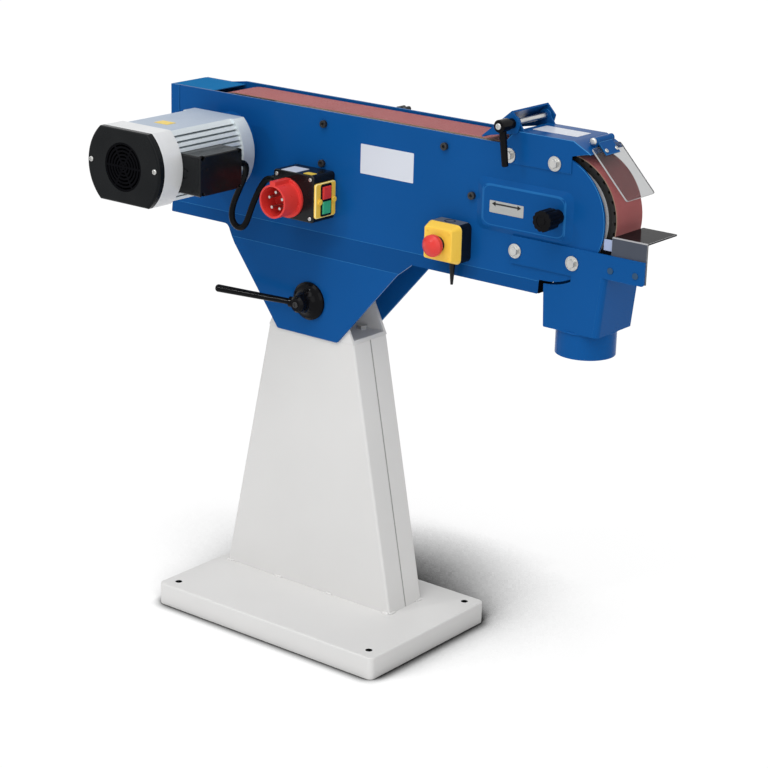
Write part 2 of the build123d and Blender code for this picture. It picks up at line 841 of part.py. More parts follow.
# Door knob: star grip with a stud that screws into the catch nut
with BuildPart() as door_knob:
    with BuildSketch(upright(rear_y + door_collar)):
        with Locations((door_knob_x, door_knob_z)):
            Circle(door_knob_radius - door_lobe_radius)
            with PolarLocations(door_knob_radius - door_lobe_radius, door_lobes):
                Circle(door_lobe_radius)
    extrude(amount=-door_knob_length)
    chamfer(door_knob.faces().sort_by(Axis.Y)[-1].edges(), moulded_edge)
    with BuildSketch(upright(rear_y + running_gap)):
        with Locations((door_knob_x, door_knob_z)):
            Circle(2 * door_stud_radius)
    extrude(amount=-door_collar)
    with BuildSketch(upright(rear_y + door_collar)):
        with Locations((door_knob_x, door_knob_z)):
            Circle(door_stud_radius)
    extrude(amount=door_collar + arm_sheet + door_stud_length)
door_knob.part.label = "door_knob"
export_step(door_knob.part, "parts/door_knob.step")

# Platen bracket: angle on the front panel, with the welded catch nut on its rear lug
shelf_z = belt_under_z - running_gap - platen_thickness
shelf_right = platen_right - bracket_end
shelf_left = platen_left + bracket_inset
lug_y = rear_inner_y - running_gap - catch_nut_length - bracket_sheet
lug_low_z = door_knob_z - catch_nut_radius - catch_lug_margin
with BuildPart() as platen_bracket:
    with BuildSketch(Plane.YZ.offset(shelf_left)):
        with BuildLine():
            Polyline((front_inner_y, shelf_z), (lug_y, shelf_z), (lug_y, shelf_z - bracket_sheet),
                     (front_inner_y + bracket_sheet, shelf_z - bracket_sheet),
                     (front_inner_y + bracket_sheet, shelf_z - platen_flange),
                     (front_inner_y, shelf_z - platen_flange), close=True)
        make_face()
    extrude(amount=shelf_right - shelf_left)
    with BuildSketch(upright(lug_y)):
        with Locations((door_knob_x, (shelf_z + lug_low_z) / 2)):
            Rectangle(4 * catch_nut_radius, shelf_z - lug_low_z)
    extrude(amount=-bracket_sheet)
    with BuildSketch(upright(lug_y + bracket_sheet)):
        with Locations((door_knob_x, door_knob_z)):
            RegularPolygon(catch_nut_radius, 6)
    extrude(amount=-catch_nut_length)
    with BuildSketch(upright(rear_inner_y)):
        with Locations((door_knob_x, door_knob_z)):
            Circle(door_stud_radius + catch_clearance)
    extrude(amount=door_stud_length + 2 * arm_sheet, mode=Mode.SUBTRACT)
    with BuildSketch(upright(front_inner_y + bracket_sheet)):
        with Locations(*platen_screw_places):
            Circle(cap_screw_radius + shaft_fit)
    extrude(amount=bracket_sheet, mode=Mode.SUBTRACT)
platen_bracket.part.label = "platen_bracket"
export_step(platen_bracket.part, "parts/platen_bracket.step")

# Platen: ground steel plate under the working run of the belt, eased at both ends
with BuildPart() as platen:
    with BuildSketch(Plane.XY.offset(shelf_z)):
        with Locations(((platen_left + platen_right) / 2, arm_y - platen_shift)):
            Rectangle(platen_right - platen_left, platen_width)
    extrude(amount=platen_thickness)
    fillet(platen.edges().filter_by(Axis.Y).group_by(Axis.Z)[-1], platen_thickness / 2)
platen.part.label = "platen"
export_step(platen.part, "parts/platen.step")

# Cross stay that keeps the front panel and the door apart
stay_rear_y = rear_inner_y - running_gap
stay_bore_y = front_inner_y + stay_bore_depth
cross_stay = turned(*stay_place, [(0, stay_bore_y), (cap_screw_radius + shaft_fit, stay_bore_y),
                                  (cap_screw_radius + shaft_fit, front_inner_y),
                                  (stay_radius, front_inner_y),
                                  (stay_radius, stay_rear_y), (0, stay_rear_y)])
cross_stay.label = "cross_stay"
export_step(cross_stay, "parts/cross_stay.step")

# Motor flange: neck between the motor and the front panel, with a spigot and a bearing seat
near_seat_y = front_y - near_lip
near_bearing_y = near_seat_y - motor_bearing_width
lip_radius = motor_shaft_radius + shaft_clear
motor_seat = motor_bearing_radius + shaft_fit
motor_flange = turned(drive_x, drive_z, [
    (lip_radius, front_y + arm_sheet), (spigot_radius, front_y + arm_sheet), (spigot_radius, front_y),
    (flange_neck, front_y), (flange_neck, flange_face_y), (spigot_radius + seat_wall, flange_face_y),
    (spigot_radius + seat_wall, near_bearing_y), (motor_seat, near_bearing_y),
    (motor_seat, near_seat_y), (lip_radius, near_seat_y)])
motor_flange.label = "motor_flange"
export_step(motor_flange, "parts/motor_flange.step")

# Motor housing: flat top and bottom, plain end shield, level fins on both sides, a seat for the terminal box
far_seat_y = housing_face_y + far_wall
far_bearing_y = far_seat_y + motor_bearing_width
fin_rows = int((motor_flat - fin_thickness) / fin_pitch)
box_mid_z = drive_z + (terminal_low + terminal_high) / 2
box_high = terminal_high - terminal_low
with BuildPart() as motor_housing:
    with BuildSketch(upright(flange_face_y)):
        with Locations((drive_x, drive_z)):
            Circle(fin_radius)
            for row in range(-fin_rows, fin_rows + 1):
                with Locations((0, row * fin_pitch)):
                    Rectangle(2 * fin_radius, fin_pitch - fin_thickness, mode=Mode.SUBTRACT)
            Circle(housing_core)
            Rectangle(2 * fin_radius, 2 * motor_flat, mode=Mode.INTERSECT)
    extrude(amount=housing_length)
    with BuildSketch(upright(flange_face_y)):
        with Locations((drive_x, drive_z)):
            Circle(motor_radius)
            Rectangle(2 * motor_radius, 2 * motor_flat, mode=Mode.INTERSECT)
    extrude(amount=shield_length)
    with BuildSketch(upright(front_y - terminal_near + seat_gap)):
        with Locations((drive_x + terminal_pad_x + fin_radius / 2, box_mid_z)):
            Rectangle(fin_radius, box_high + 2 * seat_gap)
    extrude(amount=terminal_far - terminal_near + 2 * seat_gap, mode=Mode.SUBTRACT)
    with BuildSketch(upright(front_y - terminal_near)):
        with Locations((drive_x + (spigot_radius + terminal_pad_x) / 2, box_mid_z)):
            Rectangle(terminal_pad_x - spigot_radius, box_high)
    extrude(amount=terminal_far - terminal_near)
    with BuildSketch(upright(flange_face_y)):
        with Locations((drive_x, drive_z)):
            Circle(stator_bore)
    extrude(amount=housing_length - far_wall - motor_bearing_width, mode=Mode.SUBTRACT)
    with BuildSketch(upright(far_bearing_y)):
        with Locations((drive_x, drive_z)):
            Circle(motor_seat)
    extrude(amount=motor_bearing_width, mode=Mode.SUBTRACT)
    with BuildSketch(upright(far_seat_y)):
        with Locations((drive_x, drive_z)):
            Circle(lip_radius)
    extrude(amount=motor_bearing_width, mode=Mode.SUBTRACT)
motor_housing.part.label = "motor_housing"
export_step(motor_housing.part, "parts/motor_housing.step")

# Fan ring behind the housing, with the same flats
with BuildPart() as fan_ring:
    with BuildSketch(upright(housing_face_y)):
        with Locations((drive_x, drive_z)):
            Circle(ring_radius)
            Rectangle(2 * ring_radius, 2 * ring_flat, mode=Mode.INTERSECT)
        offset(amount=-ring_wall, mode=Mode.SUBTRACT)
    extrude(amount=ring_length)
fan_ring.part.label = "fan_ring"
export_step(fan_ring.part, "parts/fan_ring.step")

# Fan cover: domed black end cap with a spoked intake grille
with BuildPart() as fan_cover:
    with BuildSketch(upright(ring_face_y)) as cover_outline:
        with Locations((drive_x, drive_z)):
            Circle(ring_radius)
            Rectangle(2 * ring_radius, 2 * ring_flat, mode=Mode.INTERSECT)
    extrude(amount=fan_cover_depth)
    fillet(fan_cover.faces().sort_by(Axis.Y)[0].edges(), fan_cover_depth / 3)
    with BuildSketch(upright(ring_face_y)):
        add(cover_outline.sketch_local)
        offset(amount=-ring_wall, mode=Mode.REPLACE)
    extrude(amount=fan_cover_depth - ring_wall, mode=Mode.SUBTRACT)
    with BuildSketch(upright(ring_face_y)):
        with Locations((drive_x, drive_z)):
            Circle(intake_radius)
    extrude(amount=fan_cover_depth, mode=Mode.SUBTRACT)
    with BuildSketch(upright(ring_face_y - fan_cover_depth + ring_wall)):
        with Locations((drive_x, drive_z)):
            for ring in range(grille_rings, 0, -1):
                Circle(ring * grille_pitch + grille_bar)
                Circle(ring * grille_pitch, mode=Mode.SUBTRACT)
            Circle(grille_pitch - grille_bar)
            with PolarLocations(0, grille_spokes):
                with Locations((intake_radius / 2, 0)):
                    Rectangle(intake_radius + 2 * grille_bar, grille_bar)
    extrude(amount=grille_bar)
fan_cover.part.label = "fan_cover"
export_step(fan_cover.part, "parts/fan_cover.step")

# Rotor with its shaft, which also carries the drive wheel and the fan
rotor_radius = stator_bore - rotor_air_gap
rotor_near_y = near_bearing_y - rotor_end_gap
rotor_far_y = far_bearing_y + rotor_end_gap
fan_y = ring_face_y + ring_length / 2
shaft_far_y = fan_y - fan_width / 2
drive_end_y = belt_rear_y + running_gap
rotor_shaft = turned(drive_x, drive_z, [
    (0, shaft_far_y), (fan_shaft_radius, shaft_far_y), (fan_shaft_radius, far_seat_y - fan_step),
    (motor_shaft_radius, far_seat_y - fan_step), (motor_shaft_radius, rotor_far_y),
    (rotor_radius, rotor_far_y),
    (rotor_radius, rotor_near_y), (motor_shaft_radius, rotor_near_y), (motor_shaft_radius, drive_end_y),
    (motor_shaft_radius + shaft_washer_over, drive_end_y),
    (motor_shaft_radius + shaft_washer_over, drive_end_y + shaft_washer), (0, drive_end_y + shaft_washer)])
rotor_shaft.label = "rotor_shaft"
export_step(rotor_shaft, "parts/rotor_shaft.step")

motor_bearings = Compound(children=[
    turned(drive_x, drive_z, ring_section(motor_shaft_radius + shaft_fit, motor_bearing_radius, y,
                                          y + motor_bearing_width))
    for y in (near_bearing_y, far_seat_y)])
motor_bearings.label = "motor_bearings"
export_step(motor_bearings, "parts/motor_bearings.step")

# Cooling fan with flat radial blades on a backing disc
with BuildPart() as cooling_fan:
    with BuildSketch(upright(fan_y + fan_width / 2)):
        with Locations((drive_x, drive_z)):
            Circle(fan_radius)
            Circle(fan_shaft_radius + shaft_fit, mode=Mode.SUBTRACT)
    extrude(amount=fan_disc)
    with BuildSketch(upright(fan_y + fan_width / 2)):
        with Locations((drive_x, drive_z)):
            Circle(2 * fan_shaft_radius)
            with PolarLocations(0, fan_blades):
                with Locations((fan_radius / 2, 0)):
                    Rectangle(fan_radius - 2 * fan_blade_inset, fan_blade)
            Circle(fan_shaft_radius + shaft_fit, mode=Mode.SUBTRACT)
    extrude(amount=fan_width)
cooling_fan.part.label = "cooling_fan"
export_step(cooling_fan.part, "parts/cooling_fan.step")

# Terminal box on the housing pad, open towards its lid
box_left = drive_x + terminal_pad_x
box_right = drive_x + terminal_reach - terminal_lid
box_mid_y = front_y - (terminal_near + terminal_far) / 2
box_long = terminal_far - terminal_near
with BuildPart() as terminal_box:
    with BuildSketch(Plane.YZ.offset(box_left)):
        with Locations((box_mid_y, box_mid_z)):
            RectangleRounded(box_long, box_high, terminal_corner)
    extrude(amount=box_right - box_left)
    with BuildSketch(Plane.YZ.offset(box_right)):
        with Locations((box_mid_y, box_mid_z)):
            RectangleRounded(box_long - 2 * terminal_wall, box_high - 2 * terminal_wall, terminal_corner / 2)
    extrude(amount=terminal_wall + box_left - box_right, mode=Mode.SUBTRACT)
terminal_box.part.label = "terminal_box"
export_step(terminal_box.part, "parts/terminal_box.step")

with BuildPart() as terminal_lid_plate:
    with BuildSketch(Plane.YZ.offset(box_right)):
        with Locations((box_mid_y, box_mid_z)):
            RectangleRounded(box_long, box_high, terminal_corner)
    extrude(amount=terminal_lid)
    chamfer(terminal_lid_plate.faces().sort_by(Axis.X)[-1].edges(), moulded_edge)
    with BuildSketch(Plane.YZ.offset(box_right)):
        with Locations((box_mid_y, box_mid_z)):
            RectangleRounded(box_long - 2 * terminal_wall, box_high - 2 * terminal_wall, terminal_corner / 2)
    extrude(amount=terminal_lid - terminal_wall, mode=Mode.SUBTRACT)
terminal_lid_plate.part.label = "terminal_lid"
export_step(terminal_lid_plate.part, "parts/terminal_lid.step")


# Cable glands: hexagon nut and tapered cap on the terminal box and on the switch box
def gland(face):
    """Gland that stands on the given plane."""
    with BuildPart() as fitting:
        with BuildSketch(face):
            RegularPolygon(gland_radius, 6)
        extrude(amount=gland_nut)
        with BuildSketch(face.offset(gland_nut)):
            Circle(gland_radius - gland_step)
        extrude(amount=gland_length - gland_nut, taper=gland_taper)
    return fitting.part


motor_gland_plane = Plane(origin=(motor_gland_x, front_y - terminal_near, motor_gland_z), z_dir=(0, 1, 0))
switch_left = switch_x - switch_width / 2
switch_gland_plane = Plane(origin=(switch_left, switch_gland_y, switch_gland_z), z_dir=(-1, 0, 0))
cable_glands = Compound(children=[gland(motor_gland_plane), gland(switch_gland_plane)])
cable_glands.label = "cable_glands"
export_step(cable_glands, "parts/cable_glands.step")


# Motor cable: straight runs joined by arcs as large as the runs allow
def bend_radii(points):
    """The radius of each bend: a share of its shorter run over the tangent of half its turn."""
    radii = []
    for before, corner, after in zip(points, points[1:], points[2:]):
        run_in = Vector(*corner) - Vector(*before)
        run_out = Vector(*after) - Vector(*corner)
        turn = run_in.get_angle(run_out)
        radii.append(bend_share * min(run_in.length, run_out.length) / tan(radians(turn / 2)))
    return radii


cable_bends = bend_radii(cable_route)
print("motor cable bend radii:", [round(radius, 1) for radius in cable_bends])
with BuildPart() as motor_cable:
    with BuildLine():
        cable_path = FilletPolyline(*cable_route, radius=cable_bends)
    with BuildSketch(Plane(origin=cable_route[0], z_dir=cable_path % 0)):
        Circle(cable_radius)
    sweep(path=cable_path)
cable_length = cable_path.length
print("motor cable length:", round(cable_length, 1))
print("motor cable volume over section times length:",
      round(motor_cable.part.volume / (pi * cable_radius ** 2 * cable_length), 4))
motor_cable.part.label = "motor_cable"
export_step(motor_cable.part, "parts/motor_cable.step")

# Drive wheel: plain aluminium wheel on the motor shaft
drive_rim = drive_radius - drive_rim_wall
drive_web_y = arm_y - drive_web / 2
drive_wheel = turned(drive_x, drive_z, [
    (motor_shaft_radius + shaft_fit, belt_front_y), (drive_hub_radius, belt_front_y),
    (drive_hub_radius, drive_web_y), (drive_rim, drive_web_y), (drive_rim + rim_draft, belt_front_y),
    (drive_radius, belt_front_y), (drive_radius, belt_rear_y), (drive_rim + rim_draft, belt_rear_y),
    (drive_rim, drive_web_y + drive_web),
    (drive_hub_radius, drive_web_y + drive_web), (drive_hub_radius, belt_rear_y),
    (motor_shaft_radius + shaft_fit, belt_rear_y)])
drive_wheel.label = "drive_wheel"
export_step(drive_wheel, "parts/drive_wheel.step")

# Abrasive belt around both wheels
with BuildPart() as abrasive_belt:
    for height, mode in ((belt_gap + belt_thickness, Mode.ADD), (belt_gap, Mode.SUBTRACT)):
        with BuildSketch(upright(belt_rear_y)):
            with BuildLine():
                CenterArc((drive_x, drive_z), drive_radius + height, 0, 360)
                CenterArc((contact_x, contact_z), contact_radius + height, 0, 360)
            make_hull()
        extrude(amount=belt_width, mode=mode)
abrasive_belt.part.label = "abrasive_belt"
export_step(abrasive_belt.part, "parts/abrasive_belt.step")

# Contact wheel: dished aluminium hub on two bearings, with a serrated rubber tyre
tyre_inner = contact_radius - tyre_depth
wheel_seat = wheel_bearing_radius + shaft_fit
wheel_lip = wheel_bearing_radius - bearing_lip
near_wheel_y = belt_front_y + wheel_bearing_inset
far_wheel_y = belt_rear_y - wheel_bearing_inset - wheel_bearing_width
rim_inner = tyre_inner - contact_rim_wall
contact_hub = turned(contact_x, contact_z, [
    (wheel_seat, belt_front_y), (contact_hub_radius, belt_front_y),
    (contact_hub_radius + hub_draft, drive_web_y),
    (rim_inner - hub_draft, drive_web_y), (rim_inner, belt_front_y), (tyre_inner, belt_front_y),
    (tyre_inner, belt_rear_y), (rim_inner, belt_rear_y), (rim_inner - hub_draft, drive_web_y + drive_web),
    (contact_hub_radius + hub_draft, drive_web_y + drive_web), (contact_hub_radius, belt_rear_y),
    (wheel_seat, belt_rear_y), (wheel_seat, far_wheel_y), (wheel_lip, far_wheel_y),
    (wheel_lip, near_wheel_y + wheel_bearing_width), (wheel_seat, near_wheel_y + wheel_bearing_width)])
contact_hub.label = "contact_hub"
export_step(contact_hub, "parts/contact_hub.step")


def groove_plane(number):
    """Plane at the bottom of one slanted groove of the tyre, facing outwards."""
    turn = 2 * pi * number / groove_count
    outward = Vector(cos(turn), 0, sin(turn))
    around = Vector(-sin(turn), 0, cos(turn))
    slant = radians(groove_slant)
    across = Vector(0, cos(slant), 0) + around * sin(slant)
    bottom = Vector(contact_x, arm_y, contact_z) + outward * (contact_radius - groove_depth)
    return Plane(origin=bottom, x_dir=across, z_dir=outward)


with BuildPart() as contact_tyre:
    with BuildSketch(half_section(contact_x, contact_z)):
        with BuildLine():
            Polyline(*ring_section(tyre_inner, contact_radius, belt_front_y, belt_rear_y), close=True)
        make_face()
    revolve(axis=y_axis(contact_x, contact_z))
    with Locations(*[groove_plane(number) for number in range(groove_count)]):
        Box(2 * belt_width, groove_width, 2 * groove_depth, align=(Align.CENTER, Align.CENTER, Align.MIN),
            mode=Mode.SUBTRACT)
contact_tyre.part.label = "contact_tyre"
export_step(contact_tyre.part, "parts/contact_tyre.step")

contact_bearings = Compound(children=[
    turned(contact_x, contact_z, ring_section(axle_radius + shaft_fit, wheel_bearing_radius, y,
                                              y + wheel_bearing_width))
    for y in (near_wheel_y, far_wheel_y)])
contact_bearings.label = "contact_bearings"
export_step(contact_bearings, "parts/contact_bearings.step")

# Stub axle, bolted to the tension carriage by its flange
axle_shoulder_y = near_wheel_y - running_gap
axle_washer_y = belt_rear_y - wheel_bearing_inset + running_gap
stub_axle = turned(contact_x, contact_z, [
    (0, carriage_back_y), (axle_radius + axle_flange, carriage_back_y),
    (axle_radius + axle_flange, rail_top_y),
    (axle_radius + axle_shoulder, rail_top_y), (axle_radius + axle_shoulder, axle_shoulder_y),
    (axle_radius, axle_shoulder_y), (axle_radius, axle_washer_y),
    (axle_radius + axle_washer_over, axle_washer_y),
    (axle_radius + axle_washer_over, axle_washer_y + axle_washer), (0, axle_washer_y + axle_washer)])
stub_axle.label = "stub_axle"
export_step(stub_axle, "parts/stub_axle.step")

# Tension carriage: plate that slides in the embossed field, with a lug and the spring plunger
spring_right = spring_screw_place[0] + spring_screw_inset
spring_left = spring_right - spring_house_length
plunger_tip_x = spring_left + spring_end_wall + carriage_travel + running_gap
with BuildPart() as tension_carriage:
    with BuildSketch(upright(carriage_back_y)):
        with Locations(((carriage_left + carriage_right) / 2, emboss_z)):
            Rectangle(carriage_right - carriage_left, carriage_height)
    extrude(amount=carriage_plate)
    with BuildSketch(upright(carriage_back_y)):
        with Locations((carriage_left + lug_thickness / 2, plunger_z)):
            Rectangle(lug_thickness, lug_height)
    extrude(amount=carriage_back_y - plunger_y - plunger_radius - lug_cover)
    with BuildSketch(Plane.YZ.offset(carriage_left)):
        with Locations((plunger_y, plunger_z)):
            Circle(plunger_radius)
    extrude(amount=plunger_tip_x - carriage_left)
tension_carriage.part.label = "tension_carriage"
export_step(tension_carriage.part, "parts/tension_carriage.step")

# Spring housing: tube on a foot that a screw holds to the front panel
with BuildPart() as spring_housing:
    with BuildSketch(Plane.YZ.offset(spring_right)):
        with Locations((plunger_y, plunger_z)):
            Circle(spring_house_radius)
    extrude(amount=-spring_house_length)
    with BuildSketch(upright(plunger_y)):
        with Locations((spring_screw_place[0], (plunger_z + spring_screw_place[1]) / 2)):
            Rectangle(2 * spring_screw_inset, spring_foot_height)
    extrude(amount=plunger_y - front_inner_y)
    with BuildSketch(Plane.YZ.offset(spring_right)):
        with Locations((plunger_y, plunger_z)):
            Circle(plunger_radius + shaft_fit)
    extrude(amount=spring_end_wall - spring_house_length, mode=Mode.SUBTRACT)
    with BuildSketch(upright(front_inner_y)):
        with Locations(spring_screw_place):
            Circle(cap_screw_radius + shaft_fit)
    extrude(amount=-spring_screw_depth, mode=Mode.SUBTRACT)
spring_housing.part.label = "spring_housing"
export_step(spring_housing.part, "parts/spring_housing.step")

# Tracking knob: fluted grip, collar and the screw that bears on the carriage
emboss_face_y = front_y - emboss_depth
collar_y = emboss_face_y - running_gap
with BuildPart() as tracking_knob:
    with BuildSketch(upright(collar_y - knob_collar)):
        with Locations((contact_x, contact_z)):
            Circle(knob_radius)
            with PolarLocations(knob_radius + knob_flute_radius / 2, knob_flutes):
                Circle(knob_flute_radius, mode=Mode.SUBTRACT)
    extrude(amount=knob_length)
    with BuildSketch(upright(collar_y - knob_collar - knob_length)):
        with Locations((contact_x, contact_z)):
            Circle(knob_ring_outer)
            Circle(knob_ring_inner, mode=Mode.SUBTRACT)
    extrude(amount=-knob_ring_depth, mode=Mode.SUBTRACT)
    with BuildSketch(upright(collar_y)):
        with Locations((contact_x, contact_z)):
            Circle(knob_collar_radius)
    extrude(amount=knob_collar)
    with BuildSketch(upright(carriage_front_y - seat_gap)):
        with Locations((contact_x, contact_z)):
            Circle(knob_screw_radius)
    extrude(amount=carriage_front_y - seat_gap - collar_y)
tracking_knob.part.label = "tracking_knob"
export_step(tracking_knob.part, "parts/tracking_knob.step")

# Top guard: folded sheet over the contact wheel, with lugs for the stop rod and the visor pin
guard_corner_z = arm_top_z - guard_drop
guard_foot_z = belt_under_z + belt_thickness + belt_headroom
guard_lean = tan(radians(guard_slope))
guard_foot_x = guard_left + (guard_foot_z - guard_corner_z) * guard_lean
guard_shoulder_left = guard_left + (guard_top_z - guard_corner_z) * guard_lean
guard_roof = [(guard_foot_x, guard_foot_z), (guard_shoulder_left, guard_top_z),
              (guard_shoulder_x, guard_top_z),
              (guard_tip_x, guard_tip_z)]
with BuildPart() as top_guard:
    with BuildSketch(upright(rear_y)):
        with BuildLine():
            roof_line = Polyline(*guard_roof)
            offset(roof_line, amount=guard_sheet, side=Side.RIGHT)
        make_face()
    extrude(amount=arm_width + guard_sheet)
    with BuildSketch(upright(front_y)):
        with BuildLine():
            Polyline(*guard_roof, (guard_notch_x, arm_top_z - guard_notch_drop),
                     (guard_notch_x, guard_skirt_z),
                     (guard_left, guard_skirt_z), (guard_left, guard_corner_z), close=True)
        make_face()
        with Locations(*upper_cover_bolts):
            Circle(cover_bolt_radius + shaft_fit, mode=Mode.SUBTRACT)
    extrude(amount=guard_sheet)
    with BuildSketch(upright(rear_y)):
        with BuildLine():
            Polyline(*guard_roof, close=True)
        make_face()
        with Locations(((guard_left + guard_tip_x) / 2, guard_foot_z + guard_top_z / 2)):
            Rectangle(guard_tip_x - guard_left, guard_top_z, mode=Mode.INTERSECT)
    extrude(amount=guard_sheet)
    for y in (front_y + guard_sheet + rod_lug_sheet, rear_y - guard_sheet):
        with BuildSketch(upright(y)):
            with Locations((rod_x, rod_z)):
                Circle(rod_lug_radius)
            with BuildLine():
                Polyline((rod_x - rod_lug_radius, rod_z),
                         (rod_lug_foot_left, guard_corner_z + rod_lug_radius),
                         (rod_lug_foot_right, guard_top_z - guard_sheet / 2),
                         (rod_x + rod_lug_radius, rod_z),
                         close=True)
            make_face()
            with Locations((rod_x, rod_z)):
                Circle(rod_radius + shaft_fit, mode=Mode.SUBTRACT)
        extrude(amount=rod_lug_sheet)
    for side in (-1, 1):
        lug_middle_y = arm_y + side * (visor_barrel_length / 2 + running_gap + visor_lug_width / 2)
        with BuildSketch(upright(lug_middle_y + visor_lug_width / 2)):
            with Locations((visor_pin_x, visor_pin_z)):
                Circle(visor_barrel_radius)
            with BuildLine():
                Polyline((visor_pin_x - visor_barrel_radius, visor_pin_z),
                         (visor_pin_x - visor_barrel_radius, visor_pin_z - visor_lug_heel),
                         (visor_pin_x + visor_barrel_radius / 2, visor_pin_z - visor_lug_toe),
                         (visor_pin_x + visor_barrel_radius, visor_pin_z), close=True)
            make_face()
            with Locations((visor_pin_x, visor_pin_z)):
                Circle(visor_pin_radius + shaft_fit, mode=Mode.SUBTRACT)
        extrude(amount=visor_lug_width)
top_guard.part.label = "top_guard"
export_step(top_guard.part, "parts/top_guard.step")

# Work stop: bent plate with two ears that swing on the stop rod
stop_front_y = guard_front_y - seat_gap
stop_rear_y = rear_y + 2 * seat_gap
stop_side = [(stop_tip_x, stop_tip_z), (stop_top_x, stop_top_z), (stop_heel_x, rod_z + stop_heel_rise),
             (stop_heel_x - stop_heel_back, rod_z - stop_heel_drop)]
with BuildPart() as work_stop:
    for y in (stop_front_y, stop_rear_y + stop_sheet):
        with BuildSketch(upright(y)):
            with BuildLine():
                FilletPolyline(*stop_side, radius=[0, stop_corner, stop_corner, stop_corner], close=True)
            make_face()
            with Locations((rod_x, rod_z)):
                Circle(rod_radius + shaft_fit, mode=Mode.SUBTRACT)
        extrude(amount=stop_sheet)
    with BuildSketch(upright(stop_rear_y + stop_sheet)):
        with BuildLine():
            web_line = Line(stop_side[0], stop_side[1])
            offset(web_line, amount=stop_sheet, side=Side.RIGHT)
        make_face()
    extrude(amount=stop_rear_y - stop_front_y + 2 * stop_sheet)
work_stop.part.label = "work_stop"
export_step(work_stop.part, "parts/work_stop.step")

# Stop rod across the guard, with a head at the rear
ear_front_y = stop_front_y - stop_sheet
ear_rear_y = stop_rear_y + stop_sheet
clamp_seat_y = ear_front_y - running_gap
clamp_front_y = clamp_seat_y - clamp_hub_length
rod_front_y = clamp_front_y + clamp_front_wall
rod_head_y = ear_rear_y + running_gap
stop_rod = turned(rod_x, rod_z, [(0, rod_front_y), (rod_radius, rod_front_y), (rod_radius, rod_head_y),
                                 (rod_radius + rod_head_over, rod_head_y),
                                 (rod_radius + rod_head_over, rod_head_y + rod_head),
                                 (0, rod_head_y + rod_head)])
stop_rod.label = "stop_rod"
export_step(stop_rod, "parts/stop_rod.step")

# Clamp lever on the front end of the rod
clamp_mid_y = clamp_front_y + clamp_hub_radius
clamp_neck_radius = clamp_hub_radius - clamp_neck_step
clamp_arm_plane = Plane(origin=(rod_x, clamp_mid_y, rod_z), x_dir=(0, 1, 0),
                        z_dir=(sin(radians(clamp_arm_lean)), 0, -cos(radians(clamp_arm_lean))))
with BuildPart() as stop_lever:
    with BuildSketch(half_section(rod_x, rod_z)):
        with BuildLine():
            Polyline((rod_radius + shaft_fit, clamp_seat_y), (clamp_neck_radius, clamp_seat_y),
                     (clamp_neck_radius, clamp_seat_y - clamp_neck),
                     (clamp_hub_radius, clamp_seat_y - clamp_neck),
                     (clamp_hub_radius, clamp_front_y + moulded_edge),
                     (clamp_hub_radius - moulded_edge, clamp_front_y), (0, clamp_front_y),
                     (0, rod_front_y - running_gap),
                     (rod_radius + shaft_fit, rod_front_y - running_gap), close=True)
        make_face()
    revolve(axis=y_axis(rod_x, rod_z))
    with BuildSketch(clamp_arm_plane.offset(rod_radius + clamp_neck_step)):
        Circle(clamp_arm_radius)
    with BuildSketch(clamp_arm_plane.offset(clamp_arm_length)):
        Circle(clamp_arm_radius - clamp_arm_taper)
    loft()
    chamfer(stop_lever.faces().sort_by(Axis.Z)[0].edges(), moulded_edge)
stop_lever.part.label = "stop_lever"
export_step(stop_lever.part, "parts/stop_lever.step")

# Visor: clear plate that hangs from a bracket on the guard
visor_plane = Plane(origin=(visor_top_x, arm_y, visor_top_z), x_dir=(0, 1, 0),
                    z_dir=(sin(radians(visor_slope)), 0, cos(radians(visor_slope))))
with BuildPart() as visor:
    with BuildSketch(visor_plane):
        with Locations((0, -visor_length / 2)):
            RectangleRounded(visor_width, visor_length, visor_corner)
    extrude(amount=-visor_thickness)
visor.part.label = "visor"
export_step(visor.part, "parts/visor.step")

visor_pin_reach = hypot(visor_top_x - visor_pin_x, visor_pin_z - visor_top_z)
with BuildPart() as visor_bracket:
    with BuildSketch(visor_plane):
        with Locations((0, (visor_pin_reach - visor_leaf_length) / 2)):
            Rectangle(visor_barrel_length, visor_leaf_length + visor_pin_reach)
    extrude(amount=visor_leaf)
    with BuildSketch(upright(arm_y + visor_barrel_length / 2)):
        with Locations((visor_pin_x, visor_pin_z)):
            Circle(visor_barrel_radius)
    extrude(amount=visor_barrel_length)
    with BuildSketch(upright(arm_y + visor_barrel_length / 2)):
        with Locations((visor_pin_x, visor_pin_z)):
            Circle(visor_pin_radius + shaft_fit)
    extrude(amount=visor_barrel_length, mode=Mode.SUBTRACT)
visor_bracket.part.label = "visor_bracket"
export_step(visor_bracket.part, "parts/visor_bracket.step")

visor_pin_half = visor_barrel_length / 2 + 2 * running_gap + visor_lug_width
visor_pin = turned(visor_pin_x, visor_pin_z, [
    (0, arm_y - visor_pin_half - visor_pin_head),
    (visor_pin_radius + visor_pin_over, arm_y - visor_pin_half - visor_pin_head),
    (visor_pin_radius + visor_pin_over, arm_y - visor_pin_half), (visor_pin_radius, arm_y - visor_pin_half),
    (visor_pin_radius, arm_y + visor_pin_half + visor_pin_tail),
    (0, arm_y + visor_pin_half + visor_pin_tail)])
visor_pin.label = "visor_pin"
export_step(visor_pin, "parts/visor_pin.step")

